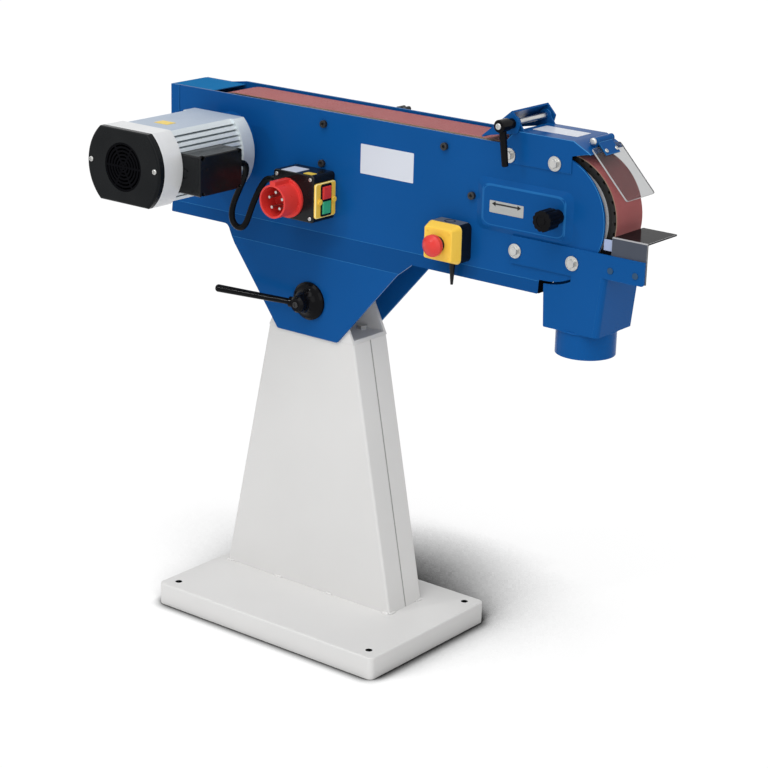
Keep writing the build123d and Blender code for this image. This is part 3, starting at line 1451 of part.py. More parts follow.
# Dust hood: front plate on the panel, folded box below the wheel and the outlet pipe
slot_radius = nose_radius + hood_slot
slot_end_z = nose_z - (slot_radius ** 2 - (hood_slot_end_x - nose_x) ** 2) ** 0.5
slot_start_z = nose_z - (slot_radius ** 2 - (hood_left_x - nose_x) ** 2) ** 0.5
slot_mid_x = (hood_left_x + hood_slot_end_x) / 2
slot_mid_z = nose_z - (slot_radius ** 2 - (slot_mid_x - nose_x) ** 2) ** 0.5
hood_rear_y = rear_y + hood_sheet
with BuildPart() as dust_hood:
    with BuildSketch(upright(front_y)):
        with BuildLine():
            plate_line = Polyline((hood_slot_end_x, slot_end_z), (hood_slot_end_x, hood_strip_low),
                                  (hood_strip_left, hood_strip_low), (hood_strip_left, hood_strip_top),
                                  (hood_strip_right, hood_strip_top), (hood_strip_right, hood_flange_low),
                                  (hood_right_top_x, hood_flange_low), (hood_right_foot_x, hood_foot_z),
                                  (hood_left_foot_x, hood_foot_z), (hood_left_x, slot_start_z))
            ThreePointArc(plate_line @ 1, (slot_mid_x, slot_mid_z), plate_line @ 0)
        make_face()
        with Locations(*lower_cover_bolts):
            Circle(cover_bolt_radius + shaft_fit, mode=Mode.SUBTRACT)
        with Locations(*rest_screws):
            Circle(rest_screw_radius + shaft_fit, mode=Mode.SUBTRACT)
    extrude(amount=hood_sheet)
    with BuildSketch(upright(hood_rear_y)):
        with BuildLine():
            Polyline((hood_left_x, hood_left_top), (hood_left_foot_x, hood_foot_z),
                     (hood_left_foot_x + hood_sheet, hood_foot_z),
                     (hood_left_x + hood_sheet, hood_left_top),
                     close=True)
        make_face()
        with BuildLine():
            Polyline((hood_right_top_x, hood_flange_low), (hood_right_foot_x, hood_foot_z),
                     (hood_right_foot_x - hood_sheet, hood_foot_z),
                     (hood_right_top_x - hood_sheet, hood_flange_low), close=True)
        make_face()
    extrude(amount=hood_rear_y - hood_front_y)
    with BuildSketch(upright(hood_rear_y)):
        with BuildLine():
            Polyline((hood_left_x, hood_left_top), (hood_left_foot_x, hood_foot_z),
                     (hood_right_foot_x, hood_foot_z),
                     (hood_right_top_x - hood_rear_inset, hood_rear_top),
                     (hood_left_x + hood_sheet, hood_rear_top), close=True)
        make_face()
    extrude(amount=hood_sheet)
    with BuildSketch(Plane.XY.offset(hood_foot_z)):
        with Locations(((hood_left_foot_x + hood_right_foot_x) / 2, (hood_front_y + hood_rear_y) / 2)):
            Rectangle(hood_right_foot_x - hood_left_foot_x, hood_rear_y - hood_front_y)
    extrude(amount=hood_sheet)
    with BuildSketch(Plane.XY.offset(hood_foot_z)):
        with Locations((outlet_x, arm_y)):
            Circle(outlet_radius)
    extrude(amount=-outlet_length)
    with BuildSketch(Plane.XY.offset(hood_foot_z - outlet_length)):
        with Locations((outlet_x, arm_y)):
            Circle(outlet_radius - outlet_wall)
    extrude(amount=outlet_length + 2 * hood_sheet, mode=Mode.SUBTRACT)
dust_hood.part.label = "dust_hood"
export_step(dust_hood.part, "parts/dust_hood.step")

# Work rest: bent plate with slots, clamped behind the hood's front plate
rest_front_y = front_y + rest_clear
with BuildPart() as work_rest:
    with BuildSketch(upright(rest_front_y + rest_sheet)):
        with BuildLine():
            Polyline((rest_right_x, rest_top_z), (rest_leg_left, rest_top_z), (rest_leg_left, rest_step_z),
                     (rest_foot_left, rest_step_z - rest_step), (rest_foot_left, rest_foot_z),
                     (rest_right_x, rest_foot_z), close=True)
        make_face()
        with Locations(*[(x - rest_travel / 2, z) for x, z in rest_screws]):
            SlotCenterToCenter(rest_travel, 2 * (rest_screw_radius + shaft_fit), mode=Mode.SUBTRACT)
    extrude(amount=rest_sheet)
    with BuildSketch(Plane.XY.offset(rest_top_z)):
        with Locations(((rest_left_x + rest_right_x) / 2, rest_front_y + rest_depth / 2)):
            Rectangle(rest_right_x - rest_left_x, rest_depth)
    extrude(amount=-rest_sheet)
work_rest.part.label = "work_rest"
export_step(work_rest.part, "parts/work_rest.step")

# Screws of the work rest: round heads in front, nuts behind the slots
rest_back_y = rest_front_y + rest_sheet
rest_screw_set = Compound(children=[
    turned(x, z, [(0, hood_front_y - rest_head), (rest_head_radius, hood_front_y - rest_head),
                  (rest_head_radius, hood_front_y), (rest_screw_radius, hood_front_y),
                  (rest_screw_radius, rest_back_y + running_gap),
                  (rest_nut_radius, rest_back_y + running_gap),
                  (rest_nut_radius, rest_back_y + rest_nut_end), (0, rest_back_y + rest_nut_end)])
    for x, z in rest_screws])
rest_screw_set.label = "rest_screws"
export_step(rest_screw_set, "parts/rest_screws.step")

# Switch box: moulded case on the front panel, open behind, with openings for the inlet and the buttons
switch_front_y = front_y - switch_depth
switch_right = switch_x + switch_width / 2
switch_mid_y = front_y - switch_depth / 2
plate_width = switch_depth - 2 * plate_margin
plate_mid_z = switch_z - switch_height / 2 + plate_lift + plate_height / 2
with BuildPart() as switch_box:
    with BuildSketch(upright(front_y)):
        with Locations((switch_x, switch_z)):
            RectangleRounded(switch_width, switch_height, switch_corner)
    extrude(amount=switch_depth)
    chamfer(switch_box.faces().sort_by(Axis.Y)[0].edges(), moulded_edge)
    with BuildSketch(upright(front_y)):
        with Locations((switch_x, switch_z)):
            RectangleRounded(switch_width - 2 * switch_wall, switch_height - 2 * switch_wall,
                             switch_corner - switch_wall)
    extrude(amount=switch_depth - switch_wall, mode=Mode.SUBTRACT)
    with BuildSketch(upright(switch_front_y + switch_wall)):
        with Locations((inlet_x, inlet_z)):
            Circle(inlet_radius - inlet_wall)
    extrude(amount=switch_wall, mode=Mode.SUBTRACT)
    with BuildSketch(Plane.YZ.offset(switch_right - switch_wall)):
        with Locations((switch_mid_y, plate_mid_z)):
            Rectangle(button_width + 2 * switch_window, 2 * button_height + 3 * switch_window)
    extrude(amount=switch_wall, mode=Mode.SUBTRACT)
switch_box.part.label = "switch_box"
export_step(switch_box.part, "parts/switch_box.step")

# Switch plate: raised frame on the right side of the box with one window for each button
stop_button_z = plate_mid_z + button_height / 2 + button_gap
start_button_z = plate_mid_z - button_height / 2 - button_gap
with BuildPart() as switch_plate:
    with BuildSketch(Plane.YZ.offset(switch_right)):
        with Locations((switch_mid_y, plate_mid_z)):
            RectangleRounded(plate_width, plate_height, plate_corner)
        with Locations((switch_mid_y, stop_button_z), (switch_mid_y, start_button_z)):
            Rectangle(button_width + 2 * running_gap, button_height + 2 * running_gap, mode=Mode.SUBTRACT)
    extrude(amount=plate_sheet)
    chamfer(switch_plate.faces().sort_by(Axis.X)[-1].outer_wire().edges(), button_edge)
switch_plate.part.label = "switch_plate"
export_step(switch_plate.part, "parts/switch_plate.step")


def push_button(z, proud):
    """Square button at height z that stands proud of the switch plate."""
    with BuildPart() as button:
        with BuildSketch(Plane.YZ.offset(switch_right - switch_wall)):
            with Locations((switch_mid_y, z)):
                Rectangle(button_width, button_height)
        extrude(amount=switch_wall + plate_sheet + proud)
        chamfer(button.faces().sort_by(Axis.X)[-1].edges(), button_edge)
    return button.part


stop_button = push_button(stop_button_z, button_travel + stop_button_proud)
stop_button.label = "stop_button"
export_step(stop_button, "parts/stop_button.step")

start_button = push_button(start_button_z, button_travel + start_button_proud)
start_button.label = "start_button"
export_step(start_button, "parts/start_button.step")

# Appliance inlet: flange, round shroud with a key rib on top, and five pins
inlet_mouth_y = switch_front_y - inlet_length
with BuildPart() as inlet:
    with BuildSketch(upright(switch_front_y)):
        with Locations((inlet_x, inlet_z)):
            Circle(inlet_flange_radius)
    extrude(amount=inlet_flange)
    with BuildSketch(upright(switch_front_y)):
        with Locations((inlet_x, inlet_z)):
            Circle(inlet_radius)
        with Locations((inlet_x, inlet_z + inlet_radius)):
            Rectangle(inlet_key, inlet_key)
    extrude(amount=inlet_length)
    with BuildSketch(upright(inlet_mouth_y)):
        with Locations((inlet_x, inlet_z)):
            Circle(inlet_radius - inlet_wall)
    extrude(amount=inlet_flange - inlet_length, mode=Mode.SUBTRACT)
inlet.part.label = "inlet"
export_step(inlet.part, "parts/inlet.step")

with BuildPart() as inlet_pins:
    with BuildSketch(upright(switch_front_y - inlet_flange)):
        with Locations((inlet_x, inlet_z)):
            with PolarLocations(inlet_pin_circle, inlet_pin_count, start_angle=inlet_pin_turn):
                Circle(inlet_pin_radius)
    extrude(amount=inlet_pin_length)
inlet_pins.part.label = "inlet_pins"
export_step(inlet_pins.part, "parts/inlet_pins.step")

# Emergency stop: black base with a tapered cable sleeve, hollow tapered lid, collar and mushroom button
estop_lid_y = front_y - estop_base_depth
estop_face_y = estop_lid_y - estop_lid_depth
estop_low = estop_z - estop_height / 2
with BuildPart() as estop_base:
    with BuildSketch(upright(front_y)):
        with Locations((estop_x, estop_z)):
            RectangleRounded(estop_width, estop_height, estop_corner)
            RectangleRounded(estop_width - 2 * estop_wall, estop_height - 2 * estop_wall,
                             estop_corner - estop_wall, mode=Mode.SUBTRACT)
    extrude(amount=estop_base_depth)
    with BuildSketch(upright(front_y)):
        with Locations((estop_x, estop_z)):
            Rectangle(estop_width - 2 * estop_wall, estop_height - 2 * estop_wall)
    extrude(amount=estop_wall)
    with BuildSketch(Plane.XY.offset(estop_low + cut_over)):
        with Locations((estop_x + sleeve_shift, front_y - estop_base_depth / 2)):
            Circle(sleeve_radius)
    with BuildSketch(Plane.XY.offset(estop_low - sleeve_length)):
        with Locations((estop_x + sleeve_shift, front_y - estop_base_depth / 2)):
            Circle(sleeve_tip_radius)
    loft()
estop_base.part.label = "estop_base"
export_step(estop_base.part, "parts/estop_base.step")

with BuildPart() as estop_lid:
    with BuildSketch(upright(estop_lid_y)):
        with Locations((estop_x, estop_z)):
            RectangleRounded(estop_width, estop_height, estop_corner)
    extrude(amount=estop_lid_depth, taper=estop_taper)
    chamfer(estop_lid.faces().sort_by(Axis.Y)[0].edges(), estop_bevel)
    with BuildSketch(upright(estop_lid_y)):
        with Locations((estop_x, estop_z)):
            RectangleRounded(estop_width - 2 * estop_wall, estop_height - 2 * estop_wall,
                             estop_corner - estop_wall)
    extrude(amount=estop_lid_depth - estop_wall, taper=estop_taper, mode=Mode.SUBTRACT)
    with BuildSketch(upright(estop_lid_y)):
        with Locations((estop_x, estop_z)):
            Circle(estop_stem_radius + estop_bush)
    extrude(amount=estop_lid_depth, mode=Mode.SUBTRACT)
estop_lid.part.label = "estop_lid"
export_step(estop_lid.part, "parts/estop_lid.step")

collar_face_y = estop_face_y - estop_collar_depth
bush_radius = estop_stem_radius + estop_bush - seat_gap
estop_collar = turned(estop_x, estop_z, [
    (estop_stem_radius + shaft_fit, estop_lid_y), (bush_radius, estop_lid_y),
    (bush_radius, estop_face_y), (estop_collar_radius, estop_face_y),
    (estop_collar_radius, collar_face_y + button_edge), (estop_collar_radius - button_edge, collar_face_y),
    (estop_stem_radius + shaft_fit, collar_face_y)])
estop_collar.label = "estop_collar"
export_step(estop_collar, "parts/estop_collar.step")

cap_back_y = collar_face_y - mushroom_travel - running_gap
cap_front_y = estop_face_y - mushroom_out
crown_radius = (mushroom_radius ** 2 + mushroom_crown ** 2) / (2 * mushroom_crown)
crown_rise = crown_radius - (crown_radius ** 2 - mushroom_radius ** 2 / 4) ** 0.5
with BuildPart() as mushroom:
    with BuildSketch(half_section(estop_x, estop_z)):
        with BuildLine():
            stem = Polyline((0, estop_lid_y + stem_inset), (estop_stem_radius, estop_lid_y + stem_inset),
                            (estop_stem_radius, cap_back_y), (mushroom_radius - mushroom_edge, cap_back_y),
                            (mushroom_radius, cap_back_y - mushroom_edge),
                            (mushroom_radius, cap_front_y + mushroom_crown))
            crown = ThreePointArc(stem @ 1, (mushroom_radius / 2, cap_front_y + crown_rise),
                                  (0, cap_front_y))
            Line(crown @ 1, stem @ 0)
        make_face()
    revolve(axis=y_axis(estop_x, estop_z))
mushroom.part.label = "mushroom"
export_step(mushroom.part, "parts/mushroom.step")


# Flanged cover bolts of the guard and the hood, and the black socket screws of the panel
def cover_bolt(x, z, seat_y):
    """Bolt with a round flange and a hexagon head on a seat at depth seat_y."""
    with BuildPart() as bolt:
        with BuildSketch(upright(seat_y)):
            with Locations((x, z)):
                Circle(cover_bolt_flange)
        extrude(amount=cover_bolt_sheet)
        with BuildSketch(upright(seat_y - cover_bolt_sheet)):
            with Locations((x, z)):
                RegularPolygon(cover_bolt_head, 6, major_radius=False)
        extrude(amount=cover_bolt_height)
        with BuildSketch(upright(seat_y)):
            with Locations((x, z)):
                Circle(cover_bolt_radius)
        extrude(amount=seat_y - front_inner_y)
    return bolt.part


cover_bolts = Compound(children=[cover_bolt(x, z, guard_front_y) for x, z in upper_cover_bolts]
                       + [cover_bolt(x, z, hood_front_y) for x, z in lower_cover_bolts])
cover_bolts.label = "cover_bolts"
export_step(cover_bolts, "parts/cover_bolts.step")

cap_face_y = front_y - cap_screw_height
socket_y = cap_face_y + socket_depth
screw_ends = [(stay_place, stay_bore_y - screw_end_gap),
              (spring_screw_place, front_inner_y + spring_screw_depth - screw_end_gap)]
screw_ends += [(place, front_inner_y + bracket_sheet + screw_end_over) for place in platen_screw_places]
socket_screws = Compound(children=[
    turned(x, z, [(0, socket_y), (socket_radius, socket_y), (socket_radius, cap_face_y),
                  (cap_screw_head, cap_face_y), (cap_screw_head, front_y), (cap_screw_radius, front_y),
                  (cap_screw_radius, end_y), (0, end_y)])
    for (x, z), end_y in screw_ends])
socket_screws.label = "socket_screws"
export_step(socket_screws, "parts/socket_screws.step")
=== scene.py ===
import json
from math import cos, pi, radians, sin

import bpy
from mathutils import Matrix, Vector

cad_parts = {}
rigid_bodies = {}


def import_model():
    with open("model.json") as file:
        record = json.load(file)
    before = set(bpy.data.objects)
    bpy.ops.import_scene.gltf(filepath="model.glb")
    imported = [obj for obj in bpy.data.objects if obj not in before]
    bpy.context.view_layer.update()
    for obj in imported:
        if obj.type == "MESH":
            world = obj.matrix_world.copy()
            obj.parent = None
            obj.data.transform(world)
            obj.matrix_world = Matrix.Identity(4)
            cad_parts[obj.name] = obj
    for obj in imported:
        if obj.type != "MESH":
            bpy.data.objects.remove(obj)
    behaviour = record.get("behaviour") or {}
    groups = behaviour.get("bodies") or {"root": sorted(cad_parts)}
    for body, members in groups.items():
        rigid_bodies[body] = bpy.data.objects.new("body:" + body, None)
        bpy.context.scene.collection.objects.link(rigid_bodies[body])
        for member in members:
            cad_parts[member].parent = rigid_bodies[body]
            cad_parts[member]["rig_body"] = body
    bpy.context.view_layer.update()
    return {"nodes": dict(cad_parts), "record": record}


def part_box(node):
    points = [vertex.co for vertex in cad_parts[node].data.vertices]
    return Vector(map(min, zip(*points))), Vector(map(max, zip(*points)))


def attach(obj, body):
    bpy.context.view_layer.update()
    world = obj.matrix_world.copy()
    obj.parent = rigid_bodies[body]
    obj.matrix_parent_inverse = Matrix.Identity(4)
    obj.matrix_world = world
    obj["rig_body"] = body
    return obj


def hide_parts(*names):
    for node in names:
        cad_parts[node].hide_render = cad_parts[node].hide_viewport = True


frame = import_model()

scene = bpy.context.scene
nodes = frame["nodes"]

# A millimetre in metres, and how many millimetres apart two places still count as one
MM = 0.001
EXACT = 0.01

# A part is modelled facing up and is then turned to face one way
UP = (0, 0, 0)
FRONT = (pi / 2, 0, 0)
REAR = (-pi / 2, 0, 0)
RIGHT = (0, pi / 2, 0)

# Places and sizes on the machine, in millimetres; a point on a face is x and z, one on the floor x and y
# Arm: panel, guard, hinges, and the raised field round the belt adjuster
PANEL_Y = 1.3
PANEL_FOLDS = [(1.3, 713.0), (-3.3, 672.0)]  # y and z
NOSE_X = 500.0
HEEL = (442.0, 720.0)
GUARD_Y = -0.7
GUARD_FOLD_Z = 925.0
GUARD_TOP_Z = 951.0
HINGE_FACE_Y = 97.2
HINGE_SCREWS_X = (-240, -200, 230, 270)
FIELD = (409.0, 822.0)
FIELD_FACE_Y = -3.2
FIELD_FOOT = (188.0, 87.5)
FIELD_TOP = (160.0, 68.0)
FIELD_HEIGHT = 4.6
FIELD_RAISED = 2.25
FIELD_CORNER = 10.0
ARROW_X = 376.5
PLATE_THICKNESS = 0.4
# Wheels and the tyre's lips
DRIVE = (-224.52, 838.6)
CONTACT = (476.3, 826.6)
LIP_OUTER = 91.3
LIP_INNER = 87.2
LIP_HEIGHT = 0.8
LIP_SUNK = 0.2
# Motor
MOTOR_TOP_Z = 899.6
FAN_FACE_Y = -271.7
HOUSING_END_Y = -214.7
INTAKE_RADIUS = 41.5
# Disc of painted shade round the fan: its radius, eye and flats
SHADE_DISC_RADIUS = 79.8
SHADE_DISC_EYE = 57.0
SHADE_DISC_FLAT = 59.0
TERMINAL_LID_X = -101.5
TERMINAL_Y = (-214.4, -108.7)
TERMINAL_Z = (796.6, 865.6)
TERMINAL_STRETCH = 9.7
KNOCK_OUT = (-136.7, 832.7)
CABLE_RADIUS = 5.5
# Switch and emergency stop
SWITCH_FRONT_Y = -54.7
SWITCH_PLATE_X = 17.0
SWITCH_TOP_Z = 826.0
BUTTONS_Y = -26.7
BEZEL_Z = 781.5
LATCH_Z = 779.5
STOP_BUTTON = (21.5, BUTTONS_Y, 794.5)
START_BUTTON = (20.5, BUTTONS_Y, 768.5)
ESTOP_X = 271.0
ESTOP_FACE_Y = -44.7
ESTOP_TOP_Z = 785.5
# Stand
ANCHORS = [(224.0, 139.0), (224.0, -139.0), (-224.0, 139.0), (-224.0, -139.0)]
ANCHOR_REACH = 6.4
BASE_TOP_Z = 41.0
COLUMN_FRONT_Y = 1.0
COLUMN_RIGHT_X = 159.6
SEAM_Y = 48.5
# Visor, dust hood and work rest
VISOR_SLOPE = radians(46.2)
VISOR_PIN_FRONT_Y = 18.5
HOOD_Y = -1.7
HOOD_CORNER = (571.0, 741.0)
HOOD_LEAN = radians(5.65)
HOOD_FOLD = 9.0
HOOD_FOOT = (457.0, 640.0)
HOOD_PLATE_X = 641.0
HOOD_PLATE_Z = (741.0, 780.0)
OUTLET = (509.0, 48.5)
OUTLET_RADIUS = 50.6
BEAD_STEP = pi / 30
REST_Y = 1.4
REST_Z = 810.0
APRON = (572.0, 6.6)


# Camera at the photograph's place
def photo_camera():
    """Camera solved from the straight edges of the machine."""
    right = (0.78489364, 0.61907522, 0.0262266)
    up = (-0.21157554, 0.22798287, 0.95039971)
    back = (0.5823897, -0.7515116, 0.30992348)
    place = Vector((2351.72, -2862.68, 1649.86)) * MM
    lens = bpy.data.cameras.new("photo_camera")
    lens.sensor_width = 36.0
    lens.lens = 103.03
    lens.clip_end = 100.0
    camera = bpy.data.objects.new("photo_camera", lens)
    scene.collection.objects.link(camera)
    camera.matrix_world = Matrix.Translation(place) @ Matrix((right, up, back)).transposed().to_4x4()
    scene.camera = camera


photo_camera()


# Shared effects of the finishes
def effect(name, settings):
    """Shader group with no inside yet: place, two colours, gloss and settings go in."""
    group = bpy.data.node_groups.new(name, "ShaderNodeTree")
    sockets = group.interface
    sockets.new_socket(name="Place", in_out="INPUT", socket_type="NodeSocketVector")
    for label in ("Colour", "Shade"):
        sockets.new_socket(name=label, in_out="INPUT", socket_type="NodeSocketColor")
    for label, value in {"Gloss low": 0.3, "Gloss high": 0.5, **settings}.items():
        sockets.new_socket(name=label, in_out="INPUT", socket_type="NodeSocketFloat").default_value = value
    sockets.new_socket(name="Colour", in_out="OUTPUT", socket_type="NodeSocketColor")
    for label in ("Roughness", "Height"):
        sockets.new_socket(name=label, in_out="OUTPUT", socket_type="NodeSocketFloat")
    return group, group.nodes.new("NodeGroupInput"), group.nodes.new("NodeGroupOutput")


def noise(tree, place, scale, detail=2.0, rough=0.5):
    """Noise texture on a place; scale is a number or a socket."""
    made = tree.nodes.new("ShaderNodeTexNoise")
    made.inputs["Detail"].default_value = detail
    made.inputs["Roughness"].default_value = rough
    if isinstance(scale, (int, float)):
        made.inputs["Scale"].default_value = scale
    else:
        tree.links.new(scale, made.inputs["Scale"])
    tree.links.new(place, made.inputs["Vector"])
    return made.outputs["Fac"]


def spread(tree, value, low, high, to_low=0.0, to_high=1.0):
    """Value mapped from one range to another; the new ends are numbers or sockets."""
    made = tree.nodes.new("ShaderNodeMapRange")
    made.inputs["From Min"].default_value = low
    made.inputs["From Max"].default_value = high
    for label, end in (("To Min", to_low), ("To Max", to_high)):
        if isinstance(end, (int, float)):
            made.inputs[label].default_value = end
        else:
            tree.links.new(end, made.inputs[label])
    tree.links.new(value, made.inputs["Value"])
    return made.outputs["Result"]


def mixed(tree, share, first, second):
    """Colour between two colour sockets."""
    made = tree.nodes.new("ShaderNodeMix")
    made.data_type = "RGBA"
    tree.links.new(share, made.inputs["Factor"])
    first_colour, second_colour = (socket for socket in made.inputs if socket.type == "RGBA")
    tree.links.new(first, first_colour)
    tree.links.new(second, second_colour)
    return next(socket for socket in made.outputs if socket.type == "RGBA")


def combined(tree, kind, first, second):
    """Sum, product or other result of two values; each is a number or a socket."""
    made = tree.nodes.new("ShaderNodeMath")
    made.operation = kind
    for index, value in enumerate((first, second)):
        if isinstance(value, (int, float)):
            made.inputs[index].default_value = value
        else:
            tree.links.new(value, made.inputs[index])
    return made.outputs[0]


def weighed(tree, first, share, second):
    """Mean of two values, of which the first has the given share."""
    return combined(tree, "ADD", combined(tree, "MULTIPLY", first, share),
                    combined(tree, "MULTIPLY", second, 1.0 - share))


def give_out(group, given, result, share, rubbed, ends, height):
    """Links a group's outputs: colour by share, roughness by rubbed between its ends, and height."""
    colour = mixed(group, share, given.outputs["Colour"], given.outputs["Shade"])
    rough = spread(group, rubbed, *ends, given.outputs["Gloss low"], given.outputs["Gloss high"])
    for label, value in (("Colour", colour), ("Roughness", rough), ("Height", height)):
        group.links.new(value, result.inputs[label])
    return group


# Parts of a noise's range that are spread from end to end
MIDDLE = (0.35, 0.65)
MOST = (0.3, 0.7)
ALL = (0.0, 1.0)


def coated_effect():
    """Baked coat on sheet: slow shift of colour, orange peel and handling marks in the gloss."""
    group, given, result = effect("coated_sheet", {"Peel": 500.0})
    place = given.outputs["Place"]
    slow = spread(group, noise(group, place, 4.0, 3.0), *MIDDLE)
    marks = noise(group, place, 26.0, 5.0, 0.6)
    peel = noise(group, place, given.outputs["Peel"], 1.5)
    return give_out(group, given, result, slow, marks, MOST, peel)


def moulded_effect():
    """Moulded plastic or rubber: spark-eroded grain, flow shade and a rubbed gloss."""
    group, given, result = effect("moulded_skin", {"Grain": 1400.0})
    place = given.outputs["Place"]
    flow = spread(group, noise(group, place, 18.0, 4.0), *MIDDLE)
    rubbed = noise(group, place, 60.0, 4.0, 0.65)
    cells = group.nodes.new("ShaderNodeTexVoronoi")
    cells.feature = "SMOOTH_F1"
    group.links.new(given.outputs["Grain"], cells.inputs["Scale"])
    group.links.new(place, cells.inputs["Vector"])
    return give_out(group, given, result, flow, rubbed, MOST, cells.outputs["Distance"])


def drawn_effect():
    """Ground, drawn or plated metal: fine lines along one way and a cloudy gloss."""
    group, given, result = effect("drawn_metal", {"Along X": 1.0, "Along Y": 1.0, "Along Z": 1.0})
    ways = group.nodes.new("ShaderNodeCombineXYZ")
    for label in "XYZ":
        group.links.new(given.outputs["Along " + label], ways.inputs[label])
    drawn = group.nodes.new("ShaderNodeVectorMath")
    drawn.operation = "MULTIPLY"
    group.links.new(given.outputs["Place"], drawn.inputs[0])
    group.links.new(ways.outputs[0], drawn.inputs[1])
    lines = noise(group, drawn.outputs[0], 1.0, 3.0, 0.6)
    cloud = noise(group, given.outputs["Place"], 45.0, 4.0)
    share = spread(group, weighed(group, lines, 0.6, cloud), *MIDDLE)
    return give_out(group, given, result, share, share, ALL, lines)


def cast_effect():
    """Die-cast metal under thin paint: pebbled skin with small pits."""
    group, given, result = effect("cast_skin", {"Pebble": 320.0})
    place = given.outputs["Place"]
    pebble = noise(group, place, given.outputs["Pebble"], 4.0, 0.6)
    slow = noise(group, place, 14.0, 3.0)
    share = spread(group, weighed(group, pebble, 0.35, slow), 0.38, 0.62)
    return give_out(group, given, result, share, pebble, MOST, pebble)


def grit_effect():
    """Abrasive cloth: packed grains of slightly different colour, and slow loading marks."""
    group, given, result = effect("grit_cloth", {"Grain": 1500.0})
    place = given.outputs["Place"]
    grains = group.nodes.new("ShaderNodeTexVoronoi")
    group.links.new(given.outputs["Grain"], grains.inputs["Scale"])
    group.links.new(place, grains.inputs["Vector"])
    parts = group.nodes.new("ShaderNodeSeparateColor")
    group.links.new(grains.outputs["Color"], parts.inputs[0])
    slow = noise(group, place, 9.0, 4.0)
    share = spread(group, weighed(group, parts.outputs[0], 0.5, slow), 0.2, 0.8)
    return give_out(group, given, result, share, parts.outputs[1], ALL, grains.outputs["Distance"])


COATED = coated_effect()
MOULDED = moulded_effect()
DRAWN = drawn_effect()
CAST = cast_effect()
GRIT = grit_effect()


def finish_of(name, skin, colour, shade, depth, settings, shader_settings):
    """Material whose colour, gloss and bump, up to a depth in millimetres, come from one effect."""
    made = bpy.data.materials.new(name)
    made.use_nodes = True
    tree = made.node_tree
    shader = tree.nodes["Principled BSDF"]
    place = tree.nodes.new("ShaderNodeTexCoord")
    look = tree.nodes.new("ShaderNodeGroup")
    look.node_tree = skin
    look.inputs["Colour"].default_value = (*colour, 1)
    look.inputs["Shade"].default_value = (*shade, 1)
    for label, value in settings.items():
        look.inputs[label].default_value = value
    bump = tree.nodes.new("ShaderNodeBump")
    bump.inputs["Distance"].default_value = depth * MM
    bump.inputs["Strength"].default_value = 1.0
    tree.links.new(place.outputs["Object"], look.inputs["Place"])
    tree.links.new(look.outputs["Colour"], shader.inputs["Base Color"])
    tree.links.new(look.outputs["Roughness"], shader.inputs["Roughness"])
    tree.links.new(look.outputs["Height"], bump.inputs["Height"])
    tree.links.new(bump.outputs["Normal"], shader.inputs["Normal"])
    for label, value in shader_settings.items():
        shader.inputs[label].default_value = value
    return made


def gloss(low, high, **others):
    """Settings of an effect: the ends of its roughness, and others by name."""
    return {"Gloss low": low, "Gloss high": high, **others}


def lined(low, high, x, y, z):
    """Settings of drawn metal: the ends of its roughness, and how close its lines are along each axis."""
    return {**gloss(low, high), "Along X": x, "Along Y": y, "Along Z": z}



# How much the surface of a paint, plastic or metal mirrors
PAINT = {"Specular IOR Level": 0.3}
DEEP_PAINT = {"IOR": 1.12}
DEEP_BLACK = {"IOR": 1.3}
DEEPEST_BLACK = {"IOR": 1.14}
METAL = {"Metallic": 1.0}

